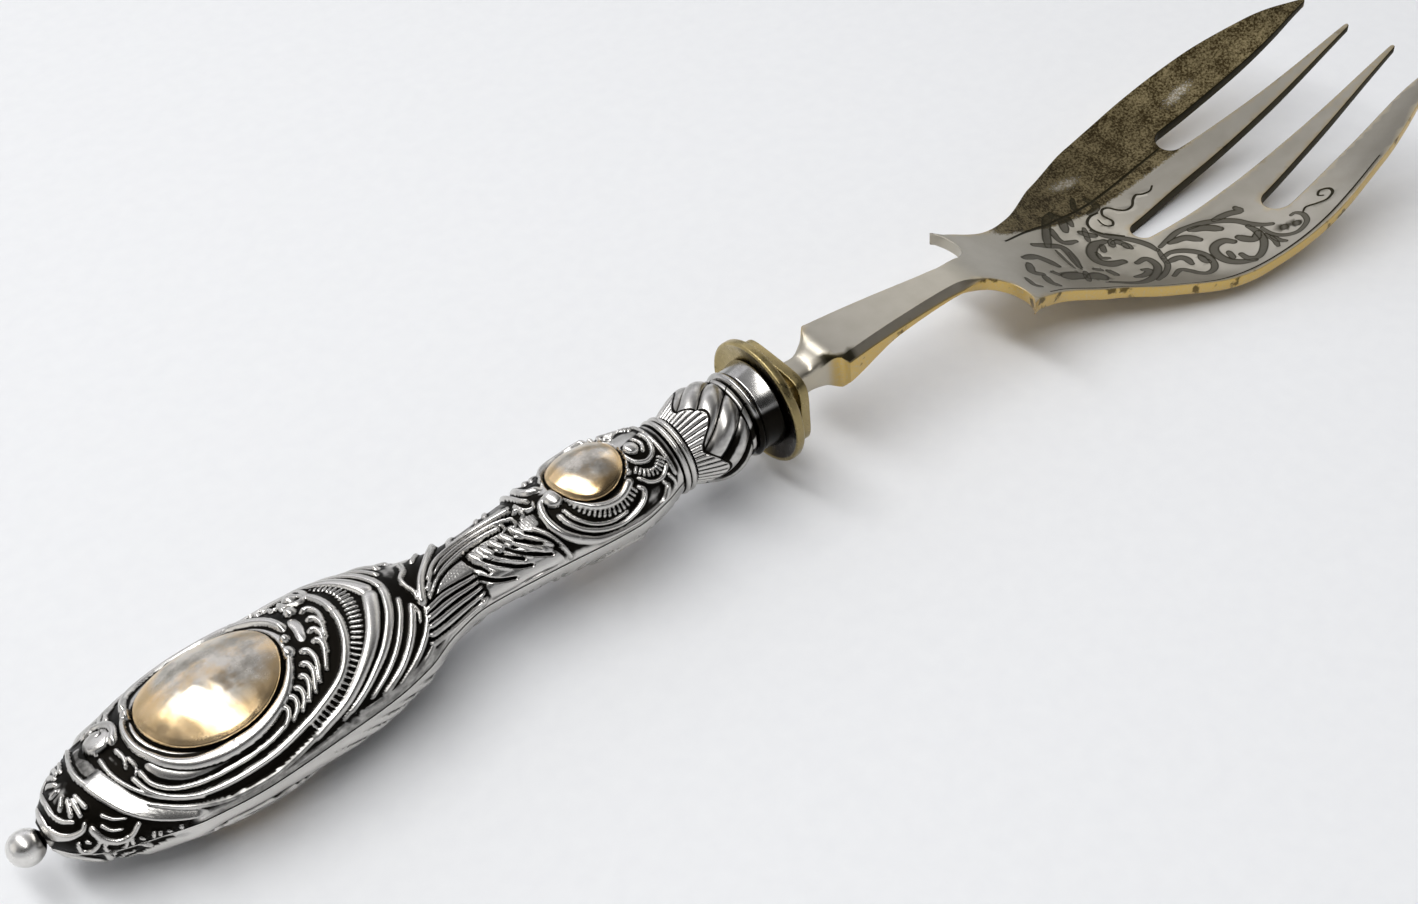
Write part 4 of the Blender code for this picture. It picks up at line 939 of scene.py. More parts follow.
def turned(name, stations, radii, marks, finish, closed=True, worn=0.0, painted_reflection=0.0):
    """Body turned about the handle's axis; the last setting is the strength of a dark reflection painted on its near
    side.
    """
    stations, radii, marks = (np.array(row, dtype=float) for row in (stations, radii, marks))
    turns = np.linspace(0.0, 2 * math.pi, TURNED_STEPS, endpoint=False)
    points = carried_round(stations[:, None], radii[:, None], turns)
    faces = loop_faces(len(stations), TURNED_STEPS, ring=closed)
    # Painted dark reflection on the near side, over the tarnish of the grooves
    tarnish_and_shade = np.maximum(marks[:, None], painted_reflection * painted_reflection_side(turns))
    make_piece("dressed_" + name, points.reshape(-1, 3), faces, finish, name,
               {"tarnish_and_shade": tarnish_and_shade.ravel(), "worn": np.full(len(marks) * TURNED_STEPS, worn)}, crease=50)


PEG_RADIUS, PEG_LENGTH, BALL_ROWS, POLE = 1.0, 9.0, 48, 0.02
FOOT_LINE, FOOT_SOFT = 1.7, 0.5
turns = np.linspace(math.pi - POLE, math.asin(PEG_RADIUS / BALL_RADIUS), BALL_ROWS)
stations = np.concatenate((BALL_RADIUS * np.cos(turns), (PEG_LENGTH,)))
radii = np.concatenate((BALL_RADIUS * np.sin(turns), (PEG_RADIUS,)))
# A dark line rings the foot of the ball
turned("finial_ball", stations, radii, smooth_step((stations - FOOT_LINE) / FOOT_SOFT), polished_silver,
       closed=False, worn=0.5)

# %% [markdown]
# The neck ring is two beads with a groove between them. The collar is a bead, a hollow and a mouth that opens
# towards the guard.

# %% Neck ring and collar
RING_RADIUS = (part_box("neck_ring")[1].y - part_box("neck_ring")[0].y) / 2 / MM
BEADS, BEAD_ROWS, BEAD_DEPTH, BEAD_FULLNESS = 2, 41, 0.6, 0.6
BEAD_FOOT, BEAD_FOOT_SOFT = 0.72, 0.5
part = np.linspace(0.0, BEADS, BEAD_ROWS)
swell = np.abs(np.sin(math.pi * part)) ** BEAD_FULLNESS
stations = np.concatenate((RING_START + (RING_END - RING_START) * part / BEADS, (RING_END, RING_START)))
radii = np.concatenate((RING_RADIUS - BEAD_DEPTH * (1 - swell), (BORE, BORE)))
marks = np.concatenate((smooth_step((BEAD_FOOT - swell) / BEAD_FOOT_SOFT), (1.0, 1.0)))
turned("neck_ring", stations, radii, marks, oxidised_silver)

COLLAR_BEAD_RADIUS, COLLAR_WAIST_RADIUS, COLLAR_MOUTH_RADIUS = 7.1, 6.7, 7.4
COLLAR_BEAD_LENGTH, COLLAR_BEAD_DEPTH, COLLAR_LIP, COLLAR_ROWS = 1.2, 0.7, 0.35, 61
GROOVE_DEPTH, GROOVE_END, GROOVE_SOFT = 0.25, 1.6, 0.6
# Grey film all over, tarnish in the groove, and the strength of the dark reflection painted on the near side
COLLAR_FILM, GROOVE_FILM, COLLAR_PAINTED_REFLECTION = 0.34, 0.9, 0.9
DARK_HALF_WIDTH, DARK_EDGE_SOFT = 0.28, 0.2
place_on = np.linspace(0.0, COLLAR_END - COLLAR_START, COLLAR_ROWS)
opening = place_on / place_on[-1]
hollow = COLLAR_WAIST_RADIUS + (COLLAR_MOUTH_RADIUS - COLLAR_WAIST_RADIUS) * opening ** 2
half_bead = COLLAR_BEAD_LENGTH / 2
bead = np.sqrt(np.clip(1 - ((place_on - half_bead) / half_bead) ** 2, 0.0, 1.0))
grooved = hollow - GROOVE_DEPTH * smooth_step((GROOVE_END - place_on) / GROOVE_SOFT)
beaded = np.maximum(grooved, COLLAR_BEAD_RADIUS - COLLAR_BEAD_DEPTH * (1 - bead))
profile = np.where(place_on < COLLAR_BEAD_LENGTH, beaded, grooved)
into_lip = np.clip(1 - (place_on[-1] - place_on) / COLLAR_LIP, 0.0, 1.0)
profile -= COLLAR_LIP * (1 - np.sqrt(1 - into_lip ** 2))
in_groove = smooth_step((DARK_HALF_WIDTH - np.abs(place_on - COLLAR_BEAD_LENGTH)) / DARK_EDGE_SOFT)
marks = np.maximum(GROOVE_FILM * in_groove, COLLAR_FILM)
turned("collar", np.concatenate((COLLAR_START + place_on, (COLLAR_END, COLLAR_START))),
       np.concatenate((profile, (BORE, BORE))), np.concatenate((marks, (1.0, 1.0))), polished_silver,
       painted_reflection=COLLAR_PAINTED_REFLECTION)

# %% [markdown]
# The knop is cast, then chased. Ten fat gadroons twist round it, a calyx of five ribbed fans holds it at the
# handle's end, and a fine bead closes it at the other. The grooves between the gadroons are sharp, so the
# lobes look like rope.

# %% Knop
KNOP_RADIUS, KNOP_END_RADIUS, KNOP_LEAN, KNOP_FULLNESS = 7.8, 5.7, 1.3, 0.8
GADROONS, GADROON_DEPTH, GADROON_TWIST, GADROON_FULLNESS = 10, 1.15, math.radians(75), 0.42
CALYX_LENGTH, LEAF_TIP, LEAF_LIFT, LEAF_SLOPE = 4.4, 2.9, 0.05, 0.25
LEAF_RIBS, RIB_DEPTH, RIB_FULLNESS = 45, 0.26, 0.7
FANS, FAN_TURN = 5, math.radians(112)
END_BEAD, END_BEAD_RADIUS, END_BEAD_DEPTH = 1.1, 6.6, 0.55
KNOP_ROWS, KNOP_COLUMNS = 110, 400
# Film over the lobes, strength of the dark reflection painted on their near side, and film between the ribs
KNOP_FILM, KNOP_PAINTED_REFLECTION, RIB_FILM = 0.28, 0.82, 0.85
from_start = np.linspace(0.0, KNOP_END - KNOP_START, KNOP_ROWS)[:, None]
part = from_start / from_start[-1]
turns = np.linspace(0.0, 2 * math.pi, KNOP_COLUMNS, endpoint=False)
swell = np.sin(math.pi * part ** KNOP_LEAN) ** KNOP_FULLNESS
body = KNOP_END_RADIUS + (KNOP_RADIUS - KNOP_END_RADIUS) * swell
lobe = np.abs(np.cos((turns + GADROON_TWIST * (part - 0.5)) * GADROONS / 2)) ** GADROON_FULLNESS
gadroon = body - GADROON_DEPTH * np.minimum(1.0, 1.6 * swell) * (1 - lobe)
leaf_edge = CALYX_LENGTH - LEAF_TIP * np.abs(np.sin((turns - FAN_TURN) * FANS / 2)) ** 2
on_leaf = smooth_step((leaf_edge - from_start) / LEAF_SLOPE)
rib = np.abs(np.cos(turns * LEAF_RIBS / 2)) ** RIB_FULLNESS
leaf = body + LEAF_LIFT - RIB_DEPTH * (1 - rib)
beyond = from_start[-1] - from_start
bead = np.sqrt(np.clip(1 - ((beyond - END_BEAD / 2) / (END_BEAD / 2)) ** 2, 0.0, 1.0))
bead_radius = END_BEAD_RADIUS - END_BEAD_DEPTH * (1 - bead)
radii = np.where(beyond < END_BEAD, np.broadcast_to(bead_radius, gadroon.shape),
                 gadroon + (leaf - gadroon) * on_leaf)
radii = np.minimum(radii, KNOP_RADIUS)
dark = KNOP_FILM * (1 - on_leaf)
for recess in (
    smooth_step((0.5 - lobe) / 0.3) * (1 - on_leaf),  # grooves between the gadroons
    # Painted dark reflection on the near side, on all but the crests
    KNOP_PAINTED_REFLECTION * painted_reflection_side(turns) * smooth_step((0.97 - lobe) / 0.2) * (1 - on_leaf),  # all but the crests, near side
    RIB_FILM * on_leaf * smooth_step((0.75 - rib) / 0.5),  # between the ribs of a leaf
    smooth_step((0.32 - np.abs(from_start - leaf_edge - 0.22)) / 0.2),  # along the edge of the calyx
    smooth_step((0.3 - np.abs(beyond - END_BEAD)) / 0.2),  # behind the bead
):
    dark = np.maximum(dark, recess)
bore = carried_round(np.array((KNOP_END, KNOP_START))[:, None], BORE, turns)
points = np.concatenate((carried_round(KNOP_START + from_start, radii, turns), bore))
marks = np.concatenate((dark, np.ones((2, KNOP_COLUMNS))))
make_piece("dressed_knop", points.reshape(-1, 3), loop_faces(*marks.shape, ring=True), oxidised_silver, "knop",
           {"tarnish_and_shade": marks.ravel()}, crease=60)

# %% [markdown]
# The guard is gilt all over. The gold is thick and little worn on the faces, and brown lacquer stays in the hollow of
# its dish. Its near side, in the dish and on the plate, is darkened with a painted dark reflection. The mark "film"
# says how much of both.

# %% Gilt plate, filed and burnished
RICH_GILT = to_linear("#BFAB7A")
OLIVE_GILT = to_linear("#978A61")
BROWN_FILM_AND_SHADE = to_linear("#1E150B")

gilt, tree, shader, place = start_material("gilt plate, filed and burnished")
tone = add_node(tree, "ShaderNodeTexNoise", {"Vector": place, "Scale": pattern_scale(2.5), "Detail": 5.0})
gold = add_node(tree, "ShaderNodeMix", {
    FACTOR: tone.outputs["Fac"], COLOUR_A: RICH_GILT, COLOUR_B: OLIVE_GILT}, data_type="RGBA")
spots = add_node(tree, "ShaderNodeTexNoise", {
    "Vector": place, "Scale": pattern_scale(0.9), "Detail": 6.0, "Roughness": 0.65})
stain = add_node(tree, "ShaderNodeMapRange", {
    "Value": spots.outputs["Fac"], "From Min": 0.58, "From Max": 0.78, "To Max": 0.85})
film = add_node(tree, "ShaderNodeAttribute", attribute_name="film").outputs["Fac"]
lacquer_and_shade = add_node(tree, "ShaderNodeMath", {0: stain.outputs[0], 1: film}, operation="MAXIMUM")
colour = add_node(tree, "ShaderNodeMix", {
    FACTOR: lacquer_and_shade.outputs[0], COLOUR_A: gold.outputs[COLOUR_OUT], COLOUR_B: BROWN_FILM_AND_SHADE}, data_type="RGBA")
gloss = add_node(tree, "ShaderNodeMapRange", {
    "Value": spots.outputs["Fac"], "From Min": 0.3, "From Max": 0.75, "To Min": 0.2, "To Max": 0.45})
file_marks = add_node(tree, "ShaderNodeTexNoise", {"Vector": place, "Scale": pattern_scale(0.4), "Detail": 4.0})
bump = add_node(tree, "ShaderNodeBump", {
    "Height": file_marks.outputs["Fac"], "Strength": 0.15, "Distance": 0.05 * MM})
set_inputs(tree, shader, {"Base Color": colour.outputs[COLOUR_OUT], "Roughness": gloss.outputs[0],
                          "Normal": bump.outputs[0], "Metallic": 1.0})
print("made", gilt.name)

# %% [markdown]
# The guard was made in one with two steps: a round dish that takes the collar's mouth, and in front of it a
# rectangular plate with soft corners against which the fork's shoulder is driven. It is drawn as loops round the
# axis, because its round and its rectangular parts then share their points.

# %% Guard plate
GUARD_BACK, GUARD_FRONT = COLLAR_END + CLEARANCE, span("guard_plate")[1]
DISH_RADIUS, DISH_DEPTH, DISH_THICKNESS, DISH_ROUNDING = 10.3, 0.6, 1.5, 0.4
PLATE_HALF_WIDTH, PLATE_HALF_HEIGHT, PLATE_CORNERS = 7.5, 6.6, 5.0
PLATE_THICKNESS, PLATE_ROUNDING, GUARD_WAIST = 1.7, 0.22, 1.4
SEAT_HALF_WIDTH, SEAT_HALF_HEIGHT, SEAT_CORNERS = 3.7, 3.2, 20.0
GUARD_STEPS, ROUND_STEPS, HOLLOW_STEPS = 240, 5, 8
# Painted dark reflection on the dish's near side, lacquer in the dish all round, and painted dark reflection on the
# near side of the rest
NEAR_PAINTED_REFLECTION, FAR_FILM, EDGE_PAINTED_REFLECTION = 1.0, 0.12, 0.3
turns = np.linspace(0.0, 2 * math.pi, GUARD_STEPS, endpoint=False)


def rectangle_radii(half_width, half_height, corners):
    """Distance from the axis, all round, of a rectangle with soft corners."""
    share = np.abs(np.cos(turns) / half_width) ** corners + np.abs(np.sin(turns) / half_height) ** corners
    return share ** (-1 / corners)


def rounded_edge(back, front, radii, rounding):
    """Loops over an edge with both its corners rounded."""
    quarter = np.linspace(0.0, math.pi / 2, ROUND_STEPS)
    steps = [(rounding * (1 - math.cos(q)), radii - rounding * (1 - math.sin(q))) for q in quarter]
    return [(back + x, r) for x, r in steps] + [(front - x, r) for x, r in steps[::-1]]


rim_back = GUARD_BACK - DISH_DEPTH
seat_floor, plate_back = FORK_START - CLEARANCE, GUARD_FRONT - PLATE_THICKNESS
bore, dish = np.full(GUARD_STEPS, BORE), np.full(GUARD_STEPS, DISH_RADIUS)
plate = rectangle_radii(PLATE_HALF_WIDTH, PLATE_HALF_HEIGHT, PLATE_CORNERS)
seat = rectangle_radii(SEAT_HALF_WIDTH, SEAT_HALF_HEIGHT, SEAT_CORNERS)
hollow = [(GUARD_BACK - DISH_DEPTH * t * t, COLLAR_MOUTH_RADIUS + (dish - DISH_ROUNDING - COLLAR_MOUTH_RADIUS) * t)
          for t in np.linspace(0.0, 1.0, HOLLOW_STEPS, endpoint=False)]
loops = [(GUARD_BACK, bore)] + hollow
back_loops = len(loops)
loops += rounded_edge(rim_back, rim_back + DISH_THICKNESS, dish, DISH_ROUNDING)
loops += [(GUARD_BACK + DISH_THICKNESS, plate - GUARD_WAIST), (plate_back, plate - GUARD_WAIST)]
loops += rounded_edge(plate_back, GUARD_FRONT, plate, PLATE_ROUNDING)
loops += [(GUARD_FRONT, seat), (seat_floor, seat), (seat_floor, bore)]
points = np.array([carried_round(x, radii, turns) for x, radii in loops])
# Painted dark reflection on the near side of the guard, over the lacquer in the dish
painted_near_reflection = smooth_step(0.5 - np.cos(turns) * 0.9)
film_and_shade_marks = np.broadcast_to(EDGE_PAINTED_REFLECTION * painted_near_reflection, (len(loops), GUARD_STEPS)).copy()
film_and_shade_marks[:back_loops] = FAR_FILM + (NEAR_PAINTED_REFLECTION - FAR_FILM) * painted_near_reflection
make_piece("dressed_guard_plate", points.reshape(-1, 3), loop_faces(len(loops), GUARD_STEPS, ring=True), gilt,
           "guard_plate", {"film": film_and_shade_marks.ravel()}, crease=35)

# %% [markdown]
# The fork itself is silver-gilt. A hundred years of salad and polish have taken the gold off the flat top, which is
# now a warm grey, and left it on the edges, the under side and the matted far tine. The mark "gilt" says where the
# gold stays, "matt" where the top was matted, and the third mark darkens the engraver's work, the walls of the slots
# and the near tine towards its point, and carries a painted dark reflection in the near corner of the neck.

# %% Worn gilding over forged silver
WARM_SILVER = to_linear("#C0BBB0")
WARM_SHADE = to_linear("#A7A193")
EDGE_GOLD = to_linear("#C8AA64")
MATT_GOLD = to_linear("#84785A")
MATT_BROWN = to_linear("#362D1B")
CUT_AND_SHADE_DARK = to_linear("#2B2718")

worn_gilt, tree, shader, place = start_material("worn gilding over forged silver")
gilt_mark = add_node(tree, "ShaderNodeAttribute", attribute_name="gilt").outputs["Fac"]
matt_share = add_node(tree, "ShaderNodeAttribute", attribute_name="matt").outputs["Fac"]
cut_and_shade_mark = add_node(tree, "ShaderNodeAttribute", attribute_name="cut_and_shade").outputs["Fac"]
# Polishing strokes run along the fork: marks a third of a millimetre wide and a dozen times as long
stretched = add_node(tree, "ShaderNodeMapping", {"Vector": place, "Scale": (0.08, 1.0, 1.0)})
strokes = add_node(tree, "ShaderNodeTexNoise", {
    "Vector": stretched.outputs[0], "Scale": pattern_scale(0.35), "Detail": 5.0})
clouds = add_node(tree, "ShaderNodeTexNoise", {"Vector": place, "Scale": pattern_scale(5.0), "Detail": 5.0})
plain = add_node(tree, "ShaderNodeMix", {
    FACTOR: clouds.outputs["Fac"], COLOUR_A: WARM_SILVER, COLOUR_B: WARM_SHADE}, data_type="RGBA")
# Brown film breaks the gold into specks of less than half a millimetre
specks = add_node(tree, "ShaderNodeTexNoise", {
    "Vector": place, "Scale": pattern_scale(0.42), "Detail": 6.0, "Roughness": 0.6})
# The matting is rubbed through speck by speck
chance = add_node(tree, "ShaderNodeMath", {0: specks.outputs["Fac"], 1: 1.4, 2: matt_share}, operation="MULTIPLY_ADD")
left_matt = add_node(tree, "ShaderNodeMapRange", {"Value": chance.outputs[0], "From Min": 1.05, "From Max": 1.4})
matt_mark = left_matt.outputs[0]
# The film is thicker in some places than in others, over three millimetres or so
thicker = add_node(tree, "ShaderNodeTexNoise", {"Vector": place, "Scale": pattern_scale(3.0), "Detail": 4.0})
drift = add_node(tree, "ShaderNodeMath", {0: thicker.outputs["Fac"], 1: 0.5}, operation="SUBTRACT")
spread = add_node(tree, "ShaderNodeMath", {
    0: drift.outputs[0], 1: 0.45, 2: specks.outputs["Fac"]}, operation="MULTIPLY_ADD")
broken = add_node(tree, "ShaderNodeMapRange", {"Value": spread.outputs[0], "From Min": 0.4, "From Max": 0.66})
matted = add_node(tree, "ShaderNodeMix", {
    FACTOR: broken.outputs[0], COLOUR_A: MATT_BROWN, COLOUR_B: MATT_GOLD}, data_type="RGBA")
rubbed = add_node(tree, "ShaderNodeMapRange", {
    "Value": specks.outputs["Fac"], "From Min": 0.3, "From Max": 0.5, "To Min": 0.55})
kept = add_node(tree, "ShaderNodeMath", {0: gilt_mark, 1: rubbed.outputs[0]}, operation="MULTIPLY")
edged = add_node(tree, "ShaderNodeMix", {
    FACTOR: kept.outputs[0], COLOUR_A: plain.outputs[COLOUR_OUT], COLOUR_B: EDGE_GOLD}, data_type="RGBA")
# On the edges the film has gathered in dark spots of a millimetre or two
spots = add_node(tree, "ShaderNodeMapRange", {
    "Value": thicker.outputs["Fac"], "From Min": 0.6, "From Max": 0.66, "To Max": 0.85})
stain = add_node(tree, "ShaderNodeMath", {0: gilt_mark, 1: spots.outputs[0]}, operation="MULTIPLY")
spotted = add_node(tree, "ShaderNodeMix", {
    FACTOR: stain.outputs[0], COLOUR_A: edged.outputs[COLOUR_OUT], COLOUR_B: MATT_BROWN}, data_type="RGBA")
far_side = add_node(tree, "ShaderNodeMix", {
    FACTOR: matt_mark, COLOUR_A: spotted.outputs[COLOUR_OUT], COLOUR_B: matted.outputs[COLOUR_OUT]}, data_type="RGBA")
colour = add_node(tree, "ShaderNodeMix", {
    FACTOR: cut_and_shade_mark, COLOUR_A: far_side.outputs[COLOUR_OUT], COLOUR_B: CUT_AND_SHADE_DARK}, data_type="RGBA")
rough_parts = add_node(tree, "ShaderNodeMath", {0: matt_mark, 1: cut_and_shade_mark}, operation="MAXIMUM")
gloss = add_node(tree, "ShaderNodeMapRange", {"Value": rough_parts.outputs[0], "To Min": 0.3, "To Max": 0.5})
streaky = add_node(tree, "ShaderNodeMath", {
    0: strokes.outputs["Fac"], 1: 0.12, 2: gloss.outputs[0]}, operation="MULTIPLY_ADD")
grain = add_node(tree, "ShaderNodeMath", {0: specks.outputs["Fac"], 1: matt_mark}, operation="MULTIPLY")
surface = add_node(tree, "ShaderNodeMath", {
    0: strokes.outputs["Fac"], 1: 0.12, 2: grain.outputs[0]}, operation="MULTIPLY_ADD")
bump = add_node(tree, "ShaderNodeBump", {"Height": surface.outputs[0], "Strength": 0.35, "Distance": 0.12 * MM})
set_inputs(tree, shader, {"Base Color": colour.outputs[COLOUR_OUT], "Roughness": streaky.outputs[0],
                          "Normal": bump.outputs[0], "Metallic": 1.0})
print("made", worn_gilt.name)

# %% [markdown]
# The forging is drawn in plan, half of it, from the tang through the neck, the faceted shank and the swept-back
# ears to the palm and the tines. These are the measures of the solid, in millimetres from the fork's shoulder at
# the guard, drawn out here in finer steps.

# %% Plan of the fork
TANG_ROOT, TANG_TIP, TANG_STEP = (2.2, 1.6), (1.2, 1.0), 0.1
NECK_FORM = ((0.0, 3.4), (2.0, 2.7), (5.0, 2.5), (7.5, 3.2), (9.0, 4.4), (10.2, 5.8))
SHANK_FORM = ((10.2, 5.8), (21.5, 4.7), (33.5, 3.7), (39.5, 3.5))
EAR = ((39.5, 3.5), (41.2, 3.7), (42.6, 4.3), (43.9, 5.3), (44.7, 6.6), (45.0, 8.4), (44.5, 10.5), (43.3, 12.3))
PALM_FORM = ((45.5, 11.3), (52.0, 10.4), (61.5, 12.8), (73.0, 18.4), (87.0, 23.2), (101.5, 24.3), (117.5, 22.6),
             (133.5, 18.4), (141.0, 15.6))
OUTER_SLOT_FAR = ((103.6, 15.1), (119.5, 14.4), (131.5, 14.0), (141.0, 14.6))
OUTER_SLOT_NEAR = ((103.6, 9.7), (119.5, 7.8), (131.5, 6.5), (141.4, 5.6))
CENTRE_SLOT_SIDE = ((83.2, 2.2), (95.5, 3.3), (119.5, 4.0), (141.4, 4.6))
TIP_POINT = 1.6
OUTLINE_STEP, ARC_STEPS = 0.4, 16
TOP_LINE = ((0.0, 2.9), (2.0, 2.4), (5.0, 2.3), (9.0, 4.2), (33.5, 2.45), (39.0, 1.3), (45.5, -1.7), (53.5, -5.9),
            (61.5, -9.6), (71.0, -13.1), (82.0, -15.0), (101.5, -13.0), (119.5, -9.1), (142.0, -1.9))
THICKNESS_LINE = ((0.0, 5.8), (2.0, 4.8), (5.0, 4.6), (9.0, 6.4), (21.5, 3.6), (33.5, 2.9), (45.5, 2.4),
                  (119.5, 2.1), (142.0, 1.3))
SIDE_RISE = ((43.0, 0.0), (57.5, 1.1), (73.5, 3.2), (93.5, 3.3), (117.5, 5.0), (130.0, 4.4), (142.0, 1.4))
SIDE_POWER = 3.0


def sampled(points):
    """Points every step on a smooth line given by its places and half widths."""
    first, last = points[0][0], points[-1][0]
    places = np.linspace(first, last, max(2, round((last - first) / OUTLINE_STEP) + 1))
    return np.column_stack((places, smooth_line(points, places)))


def arc(start, end, bulge):
    """Points between two ends on an arc that bulges to the left by a share of its half chord."""
    centre, half = (start + end) / 2, (end - start) / 2
    out = np.array((-half[1], half[0])) * bulge
    turns = np.linspace(0.0, math.pi, ARC_STEPS + 1)[1:-1, None]
    return centre - half * np.cos(turns) + out * np.sin(turns)


def fork_outline():
    """Closed outline of the fork in plan."""
    outer, far_edge = sampled(PALM_FORM), sampled(OUTER_SLOT_FAR)
    near_edge, centre_edge = sampled(OUTER_SLOT_NEAR), sampled(CENTRE_SLOT_SIDE)
    foot = centre_edge[0]
    half = np.vstack((
        ((-TANG_LENGTH, TANG_TIP[0]), (-TANG_STEP, TANG_ROOT[0])), sampled(NECK_FORM), sampled(SHANK_FORM)[1:],
        smooth_path(EAR, OUTLINE_STEP)[1:], outer, arc(outer[-1], far_edge[-1], TIP_POINT),
        far_edge[::-1], arc(far_edge[0], near_edge[0], -1.0), near_edge,
        arc(near_edge[-1], centre_edge[-1], TIP_POINT), centre_edge[::-1],
        arc(foot, foot * np.array((1.0, -1.0)), -1.0)[:ARC_STEPS // 2],
    ))
    # The last point lies on the middle line, so its mirror image is left out
    return np.vstack((half, half[-2::-1] * np.array((1.0, -1.0))))


def fork_height(x, y, top):
    """Height of the top or the under side at places in the plan."""
    half_width = smooth_line(PALM_FORM, x)
    rise = smooth_line(SIDE_RISE, x) * np.minimum(1.0, np.abs(y) / half_width) ** SIDE_POWER
    level = smooth_line(TOP_LINE, x) + rise
    level = level if top else level - smooth_line(THICKNESS_LINE, x)
    tang = TANG_ROOT[1] + (TANG_TIP[1] - TANG_ROOT[1]) * np.clip(-x / TANG_LENGTH, 0.0, 1.0)
    return np.where(x < -TANG_STEP / 2, tang if top else -tang, level)


outline = fork_outline()
print("outline of", len(outline), "points")

# %% [markdown]
# An engraver cut the palm with a foliate scroll that starts at the shank and runs out along the near tine, with
# two loose flourishes. Leaves are cut with a broad tool that leaves a grey matted floor and a dark edge; stems
# and flourishes are single lines. Each stroke is a path in the plan with its half width.

